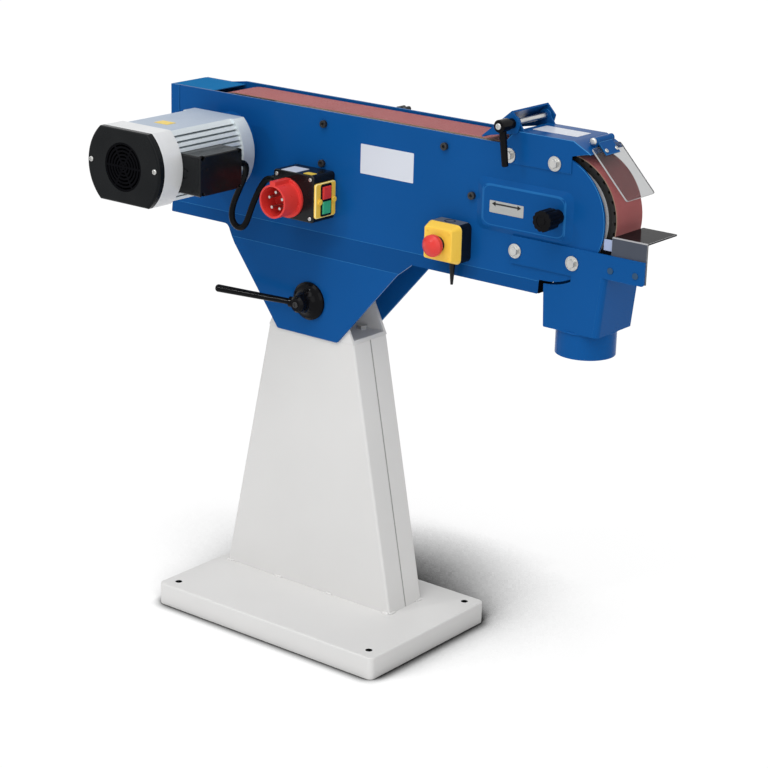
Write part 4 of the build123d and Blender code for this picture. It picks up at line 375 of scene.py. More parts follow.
# Finishes of the record's material slots, and then those of single pieces, faces and edges
finishes = {
    "blue_paint": finish_of("blue_coat", COATED, (0.004, 0.074, 0.262), (0.005, 0.081, 0.284), 0.02,
                            gloss(0.16, 0.24, Peel=420.0), DEEP_PAINT),
    "grey_paint": finish_of("pale_grey_coat", COATED, (0.685, 0.68, 0.672), (0.66, 0.656, 0.648), 0.03,
                            gloss(0.36, 0.46, Peel=420.0), PAINT),
    "black_paint": finish_of("black_coat", COATED, (0.005, 0.006, 0.007), (0.008, 0.009, 0.01), 0.02,
                             gloss(0.18, 0.28, Peel=600.0), DEEP_BLACK),
    "cast_aluminium": finish_of("motor_casting", CAST, (0.68, 0.735, 0.76), (0.61, 0.665, 0.695), 0.06,
                                gloss(0.36, 0.52, Pebble=420.0), {"Metallic": 0.3}),
    "machined_aluminium": finish_of("turned_aluminium", DRAWN, (0.72, 0.72, 0.71), (0.67, 0.67, 0.66), 0.004,
                                    lined(0.22, 0.36, 900.0, 60.0, 900.0), METAL),
    "zinc_steel": finish_of("zinc_plate", DRAWN, (0.62, 0.62, 0.6), (0.5, 0.5, 0.49), 0.01,
                            lined(0.24, 0.42, 500.0, 500.0, 500.0), METAL),
    "dark_steel": finish_of("blackened_steel", DRAWN, (0.02, 0.02, 0.022), (0.04, 0.04, 0.04), 0.01,
                            lined(0.3, 0.45, 600.0, 600.0, 600.0), {"Metallic": 0.5}),
    "black_plastic": finish_of("black_moulding", MOULDED, (0.004, 0.005, 0.006), (0.007, 0.008, 0.009), 0.02,
                               gloss(0.18, 0.28, Grain=1300.0), DEEP_BLACK),
    "yellow_plastic": finish_of("yellow_moulding", MOULDED, (0.95, 0.61, 0.075), (0.91, 0.57, 0.065), 0.02,
                                gloss(0.3, 0.42, Grain=1300.0), PAINT),
    "red_plastic": finish_of("red_moulding", MOULDED, (0.72, 0.045, 0.038), (0.66, 0.038, 0.032), 0.02,
                             gloss(0.26, 0.38, Grain=1300.0), PAINT),
    "green_plastic": finish_of("green_moulding", MOULDED, (0.05, 0.43, 0.22), (0.04, 0.39, 0.19), 0.02,
                               gloss(0.3, 0.42, Grain=1300.0), PAINT),
    "abrasive": finish_of("red_brown_grit", GRIT, (0.4, 0.098, 0.095), (0.27, 0.062, 0.062), 0.25,
                          gloss(0.55, 0.8, Grain=1700.0),
                          {**PAINT, "Sheen Weight": 0.4, "Sheen Roughness": 0.35,
                           "Sheen Tint": (0.95, 0.6, 0.62, 1)}),
    "tyre_rubber": finish_of("tyre_rubber", MOULDED, (0.008, 0.008, 0.008), (0.016, 0.015, 0.014), 0.05,
                             gloss(0.4, 0.6, Grain=700.0), DEEP_BLACK),
    "cable_rubber": finish_of("cable_sheath", MOULDED, (0.004, 0.005, 0.006), (0.007, 0.007, 0.008), 0.02,
                              gloss(0.2, 0.3, Grain=900.0), DEEPEST_BLACK),
    "clear_sheet": finish_of("clear_sheet", DRAWN, (0.55, 0.555, 0.56), (0.525, 0.53, 0.535), 0.002,
                             lined(0.01, 0.05, 40.0, 500.0, 40.0),
                             {"Transmission Weight": 0.97, "IOR": 1.12}),
}
# Painted highlight: lighter blue on the broken edges and folds of the blue parts
blue_painted_highlight = finish_of("blue_highlight_on_edges", COATED, (0.045, 0.24, 0.53), (0.035, 0.2, 0.47), 0.01,
                      gloss(0.12, 0.18, Peel=420.0), DEEP_PAINT)
# Painted highlight: lighter blue on the rim of the raised field
field_painted_highlight = finish_of("field_rim_painted_highlight", COATED, (0.016, 0.135, 0.38), (0.012, 0.115, 0.345), 0.01,
                       gloss(0.12, 0.18, Peel=420.0), DEEP_PAINT)
# Painted shade: darker blue on the sloping face between the panel's two folds
facet_painted_shade = finish_of("cheek_facet_painted_shade", COATED, (0.004, 0.067, 0.238), (0.004, 0.061, 0.217), 0.02,
                       gloss(0.16, 0.24, Peel=420.0), DEEP_PAINT)
# Painted highlight: paler yellow on the broken edges of the yellow parts
yellow_painted_highlight = finish_of("yellow_highlight_on_edges", MOULDED, (0.97, 0.82, 0.36), (0.96, 0.76, 0.28), 0.01,
                        gloss(0.26, 0.34, Grain=1300.0), PAINT)
# Painted highlight: pale grey on the broken edges and the front bend of the black work rest
rest_painted_highlight = finish_of("rest_bend_painted_highlight", COATED, (0.4, 0.4, 0.41), (0.28, 0.28, 0.29), 0.01,
                      gloss(0.2, 0.3, Peel=600.0), PAINT)
# Painted shade: darker grey on the faces of the column's seam groove
seam_shade = finish_of("seam_painted_shade", COATED, (0.36, 0.355, 0.35), (0.32, 0.315, 0.31), 0.02,
                       gloss(0.45, 0.55, Peel=420.0), PAINT)
lever_black = finish_of("polished_black", MOULDED, (0.003, 0.003, 0.004), (0.005, 0.005, 0.006), 0.008,
                        gloss(0.1, 0.16, Grain=900.0), {"IOR": 1.16})
# Painted light: lighter blue on the flat top of the end cap
cap_top_painted_light = finish_of("cap_top_painted_light", COATED, (0.018, 0.175, 0.415), (0.016, 0.16, 0.39), 0.02,
                         gloss(0.55, 0.65, Peel=420.0), {"IOR": 1.02})
# Dust and a painted sheen: lighter grey on the top of the black box
dust_and_sheen_black = finish_of("dust_and_sheen_black", MOULDED, (0.085, 0.1, 0.13), (0.11, 0.125, 0.155), 0.02,
                        gloss(0.4, 0.5, Grain=1300.0), DEEPEST_BLACK)
# Painted shade: near-black for faces and sheets that only shadow reaches
shadow_black = finish_of("unlit_black", COATED, (0.002, 0.002, 0.003), (0.004, 0.004, 0.005), 0.01,
                         gloss(0.5, 0.6, Peel=600.0), {"IOR": 1.08})
# Painted highlight: pale grey on the narrow faces of the clear visor
visor_painted_highlight = finish_of("visor_rim_painted_highlight", DRAWN, (0.4, 0.405, 0.41), (0.36, 0.365, 0.37), 0.002,
                       lined(0.2, 0.3, 200.0, 200.0, 200.0), PAINT)
belt_back = finish_of("belt_cloth", MOULDED, (0.3, 0.2, 0.14), (0.24, 0.16, 0.11), 0.1,
                      gloss(0.7, 0.85, Grain=900.0), PAINT)
fan_ring_coat = finish_of("fan_ring_coat", CAST, (0.76, 0.77, 0.78), (0.7, 0.71, 0.72), 0.05,
                          gloss(0.3, 0.42, Pebble=500.0), {"Metallic": 0.1})
fan_cover_skin = finish_of("fan_cover_skin", MOULDED, (0.004, 0.005, 0.006), (0.007, 0.008, 0.009), 0.02,
                           gloss(0.2, 0.3, Grain=1300.0), {"IOR": 1.2})
rest_coat = finish_of("work_rest_coat", COATED, (0.006, 0.006, 0.007), (0.01, 0.01, 0.011), 0.02,
                      gloss(0.1, 0.16, Peel=600.0), {"IOR": 1.09})
# Painted light: lighter bluish grey on the front of the work rest's leg
rest_leg_painted_light = finish_of("leg_front_painted_light", COATED, (0.055, 0.064, 0.085), (0.085, 0.095, 0.12), 0.02,
                          gloss(0.16, 0.26, Peel=600.0), DEEPEST_BLACK)
# Painted light: pale lavender for the strip behind the work rest's leg
rest_strip_painted_light = finish_of("rest_strip", COATED, (0.36, 0.43, 0.62), (0.32, 0.39, 0.58), 0.01,
                            gloss(0.3, 0.4, Peel=600.0), PAINT)
rest_screw_coat = finish_of("painted_screw", COATED, (0.012, 0.055, 0.12), (0.018, 0.065, 0.14), 0.02,
                            gloss(0.25, 0.35, Peel=600.0), PAINT)
hub_casting = finish_of("wheel_rim", DRAWN, (0.66, 0.66, 0.66), (0.58, 0.58, 0.58), 0.01,
                        lined(0.22, 0.36, 900.0, 60.0, 900.0), {"Metallic": 0.35})
# Painted shade: darker, bluer copy of the casting colour on the motor's flat top
motor_top_painted_shade = finish_of("motor_top_painted_shade", CAST, (0.42, 0.49, 0.59), (0.37, 0.44, 0.54), 0.04,
                           gloss(0.36, 0.5, Pebble=420.0), {"Metallic": 0.2})
plate_white = finish_of("blank_white_foil", COATED, (0.64, 0.67, 0.74), (0.61, 0.64, 0.71), 0.004,
                        gloss(0.28, 0.36, Peel=900.0), PAINT)
plate_silver = finish_of("blank_silver_foil", DRAWN, (0.42, 0.43, 0.42), (0.37, 0.38, 0.37), 0.004,
                         lined(0.35, 0.45, 30.0, 30.0, 900.0), {"Metallic": 0.3})
plate_yellow = finish_of("blank_yellow_foil", COATED, (0.85, 0.6, 0.05), (0.8, 0.56, 0.045), 0.004,
                         gloss(0.3, 0.4, Peel=900.0), PAINT)
mark_black = finish_of("black_print", COATED, (0.012, 0.012, 0.012), (0.02, 0.02, 0.02), 0.003,
                       gloss(0.4, 0.5, Peel=900.0), PAINT)

# Finish of each CAD part, and the painted highlights of the broken edges by part or slot
slot_of = {entry["node"]: entry["material_slot"] for entry in frame["record"]["subparts"]}
own_finish = {"fan_ring": fan_ring_coat, "fan_cover": fan_cover_skin, "work_rest": rest_coat,
              "rest_screws": rest_screw_coat, "motor_flange": finishes["blue_paint"],
              "contact_hub": hub_casting, "tilt_hub": lever_black, "tilt_lever_rod": lever_black,
              "tracking_knob": lever_black, "stop_lever": lever_black}
painted_edge_highlights = {"blue_paint": blue_painted_highlight, "yellow_plastic": yellow_painted_highlight, "work_rest": rest_painted_highlight}
for name, node in nodes.items():
    node.data.materials.clear()
    node.data.materials.append(own_finish.get(name) or finishes[slot_of[name]])


# Ways of working on a mesh
def clear():
    """Leaves edit mode and deselects everything."""
    if bpy.context.mode != "OBJECT":
        bpy.ops.object.mode_set(mode="OBJECT")
    bpy.ops.object.select_all(action="DESELECT")


def take(piece):
    """Makes one piece the selected and active one."""
    clear()
    piece.select_set(True)
    bpy.context.view_layer.objects.active = piece


def settle(piece):
    """Puts a piece's place, turn and size into its mesh."""
    take(piece)
    bpy.ops.object.transform_apply(location=True, rotation=True, scale=True)
    return piece


def pick(piece, kind, wanted):
    """Opens a piece in edit mode with the faces or edges selected that wanted() names.

    For faces it gets the centre and the normal, for edges the two ends, in millimetres."""
    take(piece)
    bpy.ops.object.mode_set(mode="EDIT")
    bpy.ops.mesh.select_mode(type=kind)
    bpy.ops.mesh.select_all(action="DESELECT")
    bpy.ops.object.mode_set(mode="OBJECT")
    if kind == "FACE":
        for face in piece.data.polygons:
            face.select = bool(wanted(face.center / MM, face.normal))
    else:
        points = piece.data.vertices
        for edge in piece.data.edges:
            first, second = (points[index].co / MM for index in edge.vertices)
            edge.select = bool(wanted(first, second))
    bpy.ops.object.mode_set(mode="EDIT")


def near(value, aim, within=0.1):
    """True where a value lies close to its aim."""
    return abs(value - aim) < within


def top_of(height):
    """Choice of the faces that look up at a height."""
    return lambda centre, normal: normal.z > 0.9 and near(centre.z, height, EXACT)


def inset(amount):
    """Draws a rim round the selected faces."""
    bpy.ops.mesh.inset(thickness=amount * MM, use_even_offset=True)


def pull(x, y, z):
    """Extrudes the selected faces."""
    bpy.ops.mesh.extrude_region_move(TRANSFORM_OT_translate={"value": (x * MM, y * MM, z * MM)})


def round_edges(piece, wanted, amount, segments=2, coat=-1):
    """Bevels the edges that wanted() names; coat is the number of the new faces' finish."""
    pick(piece, "EDGE", wanted)
    bpy.ops.mesh.bevel(offset=amount * MM, segments=segments, affect="EDGES", clamp_overlap=True,
                       material=coat)
    clear()


def at_height(height):
    """Choice of the edges that lie at a height."""
    return lambda first, second: near(first.z, height, EXACT) and near(second.z, height, EXACT)


def disc(name, radius, height, sides=40, low=0.0):
    """Round or many-sided blank that stands on the given height."""
    clear()
    bpy.ops.mesh.primitive_cylinder_add(vertices=sides, radius=radius * MM, depth=height * MM,
                                        location=(0, 0, (low + height / 2) * MM))
    piece = bpy.context.object
    piece.name = piece.data.name = name
    return settle(piece)


def block(name, size, centre):
    """Square blank of the given size about a centre."""
    clear()
    bpy.ops.mesh.primitive_cube_add(size=1.0, location=Vector(centre) * MM)
    piece = bpy.context.object
    piece.name = piece.data.name = name
    piece.scale = Vector(size) * MM
    return settle(piece)


def cut(piece, tool):
    """Cuts a tool out of a piece and removes the tool."""
    take(piece)
    change = piece.modifiers.new("cut", "BOOLEAN")
    change.operation = "DIFFERENCE"
    change.solver = "EXACT"
    change.object = tool
    bpy.ops.object.modifier_apply(modifier=change.name)
    bpy.data.objects.remove(tool)


def joined(name, pieces):
    """One piece made of several."""
    clear()
    for piece in pieces:
        piece.select_set(True)
    bpy.context.view_layer.objects.active = pieces[0]
    if len(pieces) > 1:
        bpy.ops.object.join()
    made = bpy.context.view_layer.objects.active
    made.name = made.data.name = name
    return made


def upright_edge(first, second):
    """True for an edge that stands straight up."""
    return near(first.x, second.x, EXACT) and near(first.y, second.y, EXACT)


def turned(piece, turn):
    """Turns a piece about its origin."""
    piece.rotation_euler = turn
    return settle(piece)


def plate(name, length, width, thickness, corner, edge):
    """Thin plate that lies on its back, with round corners and a broken edge."""
    sheet = block(name, (length, width, thickness), (0, 0, thickness / 2))
    round_edges(sheet, upright_edge, corner, 4)
    round_edges(sheet, at_height(thickness), edge, 2)
    return sheet


def pan_screw(name, radius, height):
    """Pan-head screw with a cross recess."""
    head = disc(name, radius, height, 32)
    round_edges(head, at_height(height), 0.5 * height, 3)
    for size in ((1.3 * radius, 0.3 * radius, height), (0.3 * radius, 1.3 * radius, height)):
        cut(head, block("screwdriver", size, (0, 0, height)))
    return head


def ring(name, outer, inner, height, sides=40):
    """Flat ring with broken edges."""
    made = disc(name, outer, height, sides)
    cut(made, disc("bore", inner, 3 * height, sides, -height))
    round_edges(made, at_height(height), 0.3 * height, 2)
    return made


def repaint(piece, finish, wanted):
    """Gives the faces that wanted() names another finish."""
    piece.data.materials.append(finish)
    pick(piece, "FACE", wanted)
    piece.active_material_index = len(piece.data.materials) - 1
    bpy.ops.object.material_slot_assign()
    clear()


def set_out(name, model, places, turn=UP):
    """Copies a model to each place, facing one way, and joins the copies."""
    copies = []
    for place in places:
        copy = bpy.data.objects.new(name, model.data.copy())
        scene.collection.objects.link(copy)
        copy.rotation_euler = turn
        copy.location = Vector(place) * MM
        copies.append(settle(copy))
    bpy.data.objects.remove(model)
    return joined(name, copies)


def shade_evenly(piece, angle):
    """Smooths the rounds of a piece and keeps its flat faces flat."""
    bpy.ops.object.shade_smooth_by_angle(angle=radians(angle))
    even = piece.modifiers.new("even", "WEIGHTED_NORMAL")
    even.keep_sharp = True
    bpy.ops.object.modifier_apply(modifier=even.name)


def complete(piece, body, slot, finish=None, stands_for=(), angle=35.0):
    """Closes a piece's seams, gives it its finish and fixes it to a body."""
    take(piece)
    bpy.ops.object.mode_set(mode="EDIT")
    bpy.ops.mesh.select_all(action="SELECT")
    bpy.ops.mesh.remove_doubles(threshold=0.002 * MM)
    bpy.ops.mesh.normals_make_consistent(inside=False)
    bpy.ops.object.mode_set(mode="OBJECT")
    shade_evenly(piece, angle)
    piece.data.materials.clear()
    piece.data.materials.append(finish or finishes[slot])
    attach(piece, body)
    if stands_for:
        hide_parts(*stands_for)
    clear()
    return piece


# Motor cable between its two glands
def motor_cable():
    route = [(-124.5, -93.7, 833), (-124.5, -80, 833), (-126, -70, 823), (-133, -64.5, 808),
             (-145, -60.5, 789.5), (-157.5, -57.5, 770), (-168, -55.5, 751), (-174.5, -54, 733),
             (-174, -52.5, 716), (-165, -51, 706.5), (-153, -50, 706.5), (-144.5, -49, 716),
             (-138.5, -47.5, 733.5), (-131.5, -45.5, 754), (-123, -43, 774), (-116, -41, 787.5),
             (-109, -39.5, 798), (-101, -38.5, 802), (-93, -38.5, 802)]
    line = bpy.data.curves.new("motor_cable_sheath", "CURVE")
    line.dimensions = "3D"
    spline = line.splines.new("NURBS")
    spline.points.add(len(route) - 1)
    for point, place in zip(spline.points, route):
        point.co = (*(Vector(place) * MM), 1.0)
    spline.use_endpoint_u = True
    spline.order_u = 3
    spline.resolution_u = 10
    line.bevel_depth = CABLE_RADIUS * MM
    line.bevel_resolution = 6
    line.use_fill_caps = True
    sheath = bpy.data.objects.new("motor_cable_sheath", line)
    scene.collection.objects.link(sheath)
    line.materials.append(finishes["cable_rubber"])
    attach(sheath, "arm")
    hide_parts("motor_cable")


motor_cable()


# CAD parts with their edges broken, and a painted highlight on the new edge faces where the part or slot has
# one
def merged_copy(name):
    """Copy of a CAD part with its loose triangles joined into faces."""
    piece = bpy.data.objects.new(name + "_finished", nodes[name].data.copy())
    scene.collection.objects.link(piece)
    take(piece)
    bpy.ops.object.mode_set(mode="EDIT")
    bpy.ops.mesh.select_all(action="SELECT")
    bpy.ops.mesh.remove_doubles(threshold=0.004 * MM)
    bpy.ops.mesh.dissolve_limited(angle_limit=radians(0.4))
    clear()
    return piece


def stand_in(piece, name):
    """Puts a finished copy in the place of its CAD part."""
    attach(piece, nodes[name]["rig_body"])
    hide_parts(name)
    clear()
    return piece


def softened(name, width, cutters=(), segments=2, angle=40.0, corners=(), stretch=None):
    """Copy of a CAD part with a small round on each sharp edge, painted lighter as a highlight where its part
    or slot has one.

    A stretch of one end comes first, then larger corners and cutters. A corner is a choice of edges,
    a round and the number of its finish, and a stretch a choice of edges and a move."""
    piece = merged_copy(name)
    if stretch:
        wanted, move = stretch
        pick(piece, "EDGE", wanted)
        bpy.ops.transform.translate(value=Vector(move) * MM)
        clear()
    highlight_paint = painted_edge_highlights.get(name) or painted_edge_highlights.get(slot_of[name])
    if highlight_paint:
        piece.data.materials.append(highlight_paint)
    for wanted, amount, coat in corners:
        round_edges(piece, wanted, amount, 6, coat)
    for cutter in cutters:
        cut(piece, cutter)
    take(piece)
    edge = piece.modifiers.new("edge", "BEVEL")
    edge.width = width * MM
    edge.segments = segments
    edge.limit_method = "ANGLE"
    edge.angle_limit = radians(angle)
    edge.use_clamp_overlap = True
    edge.miter_outer = "MITER_ARC"
    edge.material = len(piece.data.materials) - 1
    bpy.ops.object.modifier_apply(modifier=edge.name)
    shade_evenly(piece, angle)
    return stand_in(piece, name)


for name, width in (("saddle", 0.8), ("rear_frame", 0.6), ("rear_door", 0.6), ("work_stop", 0.6),
                    ("platen", 0.4), ("visor_bracket", 0.4), ("switch_box", 0.5), ("switch_plate", 0.6),
                    ("stop_button", 0.5), ("start_button", 0.5), ("estop_lid", 0.8), ("motor_flange", 0.6),
                    ("inlet", 0.5), ("tracking_knob", 0.4), ("door_knob", 0.5), ("rest_screws", 0.4),
                    ("socket_screws", 0.5)):
    softened(name, width)


# Parts with some wider rounds: visor pin, dust hood and top guard
def pin_end(first, second):
    """True for the edges at the front end of the visor's pin."""
    return max(first.y, second.y) < VISOR_PIN_FRONT_Y


def hood_fold():
    """Tool that rounds the front right corner of the hood."""
    spare, depth, run_out = 1.0, 104.0, 8.0
    side = HOOD_FOLD + 2 * spare
    middle = HOOD_FOLD / 2 - spare
    tool = block("hood_fold", (side, side, depth), (-middle, middle, -depth / 2))
    bar = disc("bar", HOOD_FOLD, depth + 2 * run_out, 96, -depth - run_out)
    bar.location = Vector((-HOOD_FOLD, HOOD_FOLD, 0)) * MM
    cut(tool, settle(bar))
    turned(tool, (0, HOOD_LEAN, 0))
    tool.location = Vector((HOOD_CORNER[0], HOOD_Y, HOOD_CORNER[1])) * MM
    return settle(tool)


def across(x, z):
    """Choice of the edges that run from front to rear at a place."""
    return lambda first, second: all(near(end.x, x) and near(end.z, z) for end in (first, second))


def guard_fold(first, second):
    """True for the fold along the front of the top guard, which gets a wider painted highlight."""
    along = all(near(end.y, GUARD_Y) and end.z > GUARD_FOLD_Z for end in (first, second))
    return along and first.x != second.x


softened("visor_pin", 0.4, corners=[(pin_end, 2.6, 0)])
softened("dust_hood", 1.0, [hood_fold()],
         corners=[(across(HOOD_PLATE_X, HOOD_PLATE_Z[0]), 5.0, 0),
                  (across(HOOD_PLATE_X, HOOD_PLATE_Z[1]), 1.5, 0), (across(*HOOD_FOOT), 2.2, 0)])
softened("top_guard", 0.7, corners=[(guard_fold, 1.7, 1)])


# Parts with two or more finishes
def hole_wall(centre, normal):
    """True on the walls of the anchor holes, which are painted black as painted shade."""
    away = min((centre.xy - Vector(anchor)).length for anchor in ANCHORS)
    return away < ANCHOR_REACH and abs(normal.z) < 0.5


def sheet_edge(centre, normal):
    """True on the narrow faces of the visor, which get a painted highlight."""
    return abs(normal.dot(Vector((sin(VISOR_SLOPE), 0, cos(VISOR_SLOPE))))) < 0.6


def cloth_side(centre, normal):
    """True on the inner side and the two edges of the belt."""
    span = CONTACT[0] - DRIVE[0]
    share = min(max((centre.x - DRIVE[0]) / span, 0.0), 1.0)
    middle = Vector((DRIVE[0] + share * span, centre.y, DRIVE[1] + share * (CONTACT[1] - DRIVE[1])))
    return normal.dot((centre - middle).normalized()) < 0.5


def ring_inside(centre, normal):
    """True on the faces of the fan ring that look at the fan, which get painted shade."""
    return normal.dot(Vector((centre.x - DRIVE[0], 0, centre.z - DRIVE[1])).normalized()) < -0.4


def intake(centre, normal):
    """True on the bars of the fan cover's grille, which get painted shade."""
    inside = (centre.xz - Vector(DRIVE)).length < INTAKE_RADIUS
    return inside and centre.y > FAN_FACE_Y + 0.2


def housing_end(centre, normal):
    """True on the end of the motor housing inside the fan ring, which gets painted shade."""
    return normal.y < -0.9 and centre.y < HOUSING_END_Y + 1.0


def housing_top(centre, normal):
    """True on the flat top of the motor housing, which gets a darker, bluer copy of the casting colour as
    painted shade.
    """
    return normal.z > 0.95 and centre.z > MOTOR_TOP_Z - 2.0


def heel_edge(centre, normal):
    """True on the narrow face between the arm's panel and the dust hood, which gets painted shade."""
    return normal.x > 0.9 and centre.x > HEEL[0] and centre.z < HEEL[1]


def leg_front(centre, normal):
    """True on the front of the work rest's leg, which is painted a lighter bluish grey as painted light."""
    return normal.y < -0.97


def lengthways(y, z):
    """Choice of the edges that run from left to right at a place."""
    return lambda first, second: all(near(end.y, y) and near(end.z, z) for end in (first, second))


def nose_edge(first, second):
    """True for the front edge of the panel round the contact wheel."""
    return all(near(end.y, PANEL_Y) and end.x > NOSE_X for end in (first, second))


def panel_fold(first, second):
    """True for the two fold lines where the panel steps out to its cheek."""
    return any(lengthways(y, z)(first, second) for y, z in PANEL_FOLDS)


def cheek_facet(centre, normal):
    """True on the panel's sloping face between its two fold lines, which is painted a darker blue as painted
    shade.
    """
    return PANEL_FOLDS[1][1] < centre.z < PANEL_FOLDS[0][1] and normal.y < -0.9 and normal.z > 0.09


def seam_line(first, second):
    """True for the outer edges of a column half beside the seam."""
    one_side = min(first.x, second.x) > 0.0 or max(first.x, second.x) < 0.0
    beside = all(near(end.y, SEAM_Y, 0.7) for end in (first, second))
    return one_side and beside and abs(first.z - second.z) > 50.0


def seam_side(centre, normal):
    """True on the sloping faces beside the seam of the column, which are painted darker grey as painted shade
    in the groove.
    """
    return near(centre.y, SEAM_Y, 2.6) and 0.2 < abs(normal.y) < 0.98


def estop_top(centre, normal):
    """True on the top of the emergency stop's box, which is painted grey for dust and a painted sheen."""
    return normal.z > 0.9 and centre.z > ESTOP_TOP_Z - 0.5


def cap_top(centre, normal):
    """True on the faces of the end cap that lie flat on top, which are painted a lighter blue as painted
    light.
    """
    return normal.z > 0.9


for name in ("column_front_half", "column_rear_half"):
    repaint(softened(name, 0.4, corners=[(seam_line, 1.4, 0)]), seam_shade, seam_side)
repaint(softened("estop_base", 0.6), dust_and_sheen_black, estop_top)
repaint(softened("end_cap", 0.4), cap_top_painted_light, cap_top)
repaint(softened("base_tray", 0.6), finishes["black_paint"], hole_wall)
repaint(softened("visor", 0.4), visor_painted_highlight, sheet_edge)
motor = softened("motor_housing", 0.5)
repaint(motor, shadow_black, housing_end)
repaint(motor, motor_top_painted_shade, housing_top)
repaint(softened("fan_ring", 0.5), shadow_black, ring_inside)
repaint(softened("fan_cover", 0.4), shadow_black, intake)
# The nose edge and the two fold lines get the painted highlight
panel = softened("front_panel", 0.8, corners=[(nose_edge, 1.3, 1), (panel_fold, 0.25, 1)])
repaint(panel, shadow_black, heel_edge)
repaint(panel, facet_painted_shade, cheek_facet)
# The work rest's front bend gets the painted highlight, and the front of its leg painted light
repaint(softened("work_rest", 0.8, corners=[(lengthways(REST_Y, REST_Z), 2.4, 1)]), rest_leg_painted_light, leg_front)


def belt():
    """Abrasive belt with its cloth on the inside."""
    loop = merged_copy("abrasive_belt")
    repaint(loop, belt_back, cloth_side)
    take(loop)
    bpy.ops.object.shade_smooth_by_angle(angle=radians(30.0))
    stand_in(loop, "abrasive_belt")


belt()


# Bolts and screws
def cover_bolts():
    """Hexagon bolts with a dished flange, on the guard and the hood."""
    flange, dish, head = 2.0, 0.7, 7.0
    washer = disc("cover_bolt_heads", 12.2, flange, 48)
    pick(washer, "FACE", top_of(flange))
    inset(1.5)
    pull(0, 0, -dish)
    clear()
    round_edges(washer, at_height(flange), 0.45)
    hexagon = disc("hexagon", 7.5, head - flange + dish, 6, flange - dish)
    round_edges(hexagon, at_height(head), 0.8)
    shank = disc("shank", 4.0, 6.0, 24, -6.0)
    bolt = joined("cover_bolt_heads", [washer, hexagon, shank])
    bolts = set_out("cover_bolt_heads", bolt, [(376, GUARD_Y, 910), (464, GUARD_Y, 910),
                                               (396, HOOD_Y, 755.5), (507, HOOD_Y, 755)], FRONT)
    complete(bolts, "arm", "zinc_steel", stands_for=["cover_bolts"])


def small_screws():
    """Screws that only show their heads: radius, height, places, turn, body and slot."""
    sets = (("fan_cover_screws", 4.6, 2.6, [(x, FAN_FACE_Y, 842) for x in (-298.5, -150.5)], FRONT,
             "arm", "zinc_steel"),
            ("switch_screws", 3.4, 1.8,
             [(x, SWITCH_FRONT_Y, z) for z in (818.5, 750.5) for x in (-69.5, 5.5)],
             FRONT, "arm", "zinc_steel"),
            ("estop_screws", 2.6, 0.8, [(x, ESTOP_FACE_Y, z) for x in (248.5, 293.5) for z in (730.5, 773.5)],
             FRONT, "arm", "yellow_plastic"),
            ("hinge_frame_screws", 4.0, 2.2, [(x, HINGE_FACE_Y, 706) for x in HINGE_SCREWS_X], REAR,
             "arm", "zinc_steel"),
            ("hinge_door_screws", 4.0, 2.2, [(x, HINGE_FACE_Y, 736) for x in HINGE_SCREWS_X], REAR,
             "rear_door", "zinc_steel"),
            ("visor_screws", 3.6, 2.0, [(536.3, y, 936.4) for y in (34.0, 63.0)], (0, VISOR_SLOPE, 0),
             "visor", "zinc_steel"),
            ("stop_lever_screw", 5.2, 2.4, [(380, -40.2, 963)], FRONT, "stop_lever", "zinc_steel"),
            ("tilt_hub_screw", 5.5, 2.0, [(-35, -41.6, 587)], FRONT, "tilt_lever", "dark_steel"))
    for name, radius, height, places, turn, body, slot in sets:
        complete(set_out(name, pan_screw(name, radius, height), places, turn), body, slot)


cover_bolts()
small_screws()


# Near-black disc at the end of the fan ring, round the fan: a sheet of painted shade that closes the gaps
# beyond the fan
def fan_shade_disc():
    sheet = disc("fan_shade_disc", SHADE_DISC_RADIUS, 1.0, 96)
    width = 60.0
    for side in (-1, 1):
        cut(sheet, block("flat", (200.0, width, 4.0), (0, side * (SHADE_DISC_FLAT + width / 2), 0)))
    cut(sheet, disc("eye", SHADE_DISC_EYE, 4.0, 64, -1.5))
    complete(set_out("fan_shade_disc", sheet, [(DRIVE[0], HOUSING_END_Y - 0.5, DRIVE[1])], FRONT), "arm",
             "black_plastic", shadow_black)


fan_shade_disc()


# Lips of the contact wheel's tyre, over the edge of the rim on both its faces
def tyre_lips():
    low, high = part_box("contact_hub")
    front = ring("tyre_lip_front", LIP_OUTER, LIP_INNER, LIP_HEIGHT, 120)
    rear = bpy.data.objects.new("tyre_lip_rear", front.data.copy())
    scene.collection.objects.link(rear)
    for lip, face, turn in ((front, low[1] / MM + LIP_SUNK, FRONT), (rear, high[1] / MM - LIP_SUNK, REAR)):
        lip = set_out(lip.name, lip, [(CONTACT[0], face, CONTACT[1])], turn)
        complete(lip, "contact_wheel", "tyre_rubber")


tyre_lips()


# Terminal box: its end meets the fan ring, with screw wells in the lid and a knock-out in the end wall
def terminal_wells():
    longer = (lambda first, second: max(first.y, second.y) < TERMINAL_Y[0] + TERMINAL_STRETCH + 6.0,
              (0, -TERMINAL_STRETCH, 0))
    groove = ring("knock_out", 9.5, 6.8, 3.0)
    cut(groove, block("bridge", (6.0, 8.0, 8.0), (8.0, 0, 1.5)))
    groove = set_out("knock_out", groove, [(KNOCK_OUT[0], TERMINAL_Y[0] + 1.6, KNOCK_OUT[1])], FRONT)
    softened("terminal_box", 0.6, [groove], stretch=longer)
    depth = 6.0
    places = [(TERMINAL_LID_X, y, z) for y in (TERMINAL_Y[0] + 7, TERMINAL_Y[1] - 7)
              for z in (TERMINAL_Z[0] + 2, TERMINAL_Z[1] - 2)]
    wells = set_out("terminal_wells", disc("terminal_wells", 5.2, 2 * depth, 32, -depth), places, RIGHT)
    softened("terminal_lid", 0.6, [wells], stretch=longer)
    heads = set_out("terminal_screws", pan_screw("terminal_screws", 3.2, 1.6),
                    [(x - depth, y, z) for x, y, z in places], RIGHT)
    complete(heads, "arm", "dark_steel")


terminal_wells()


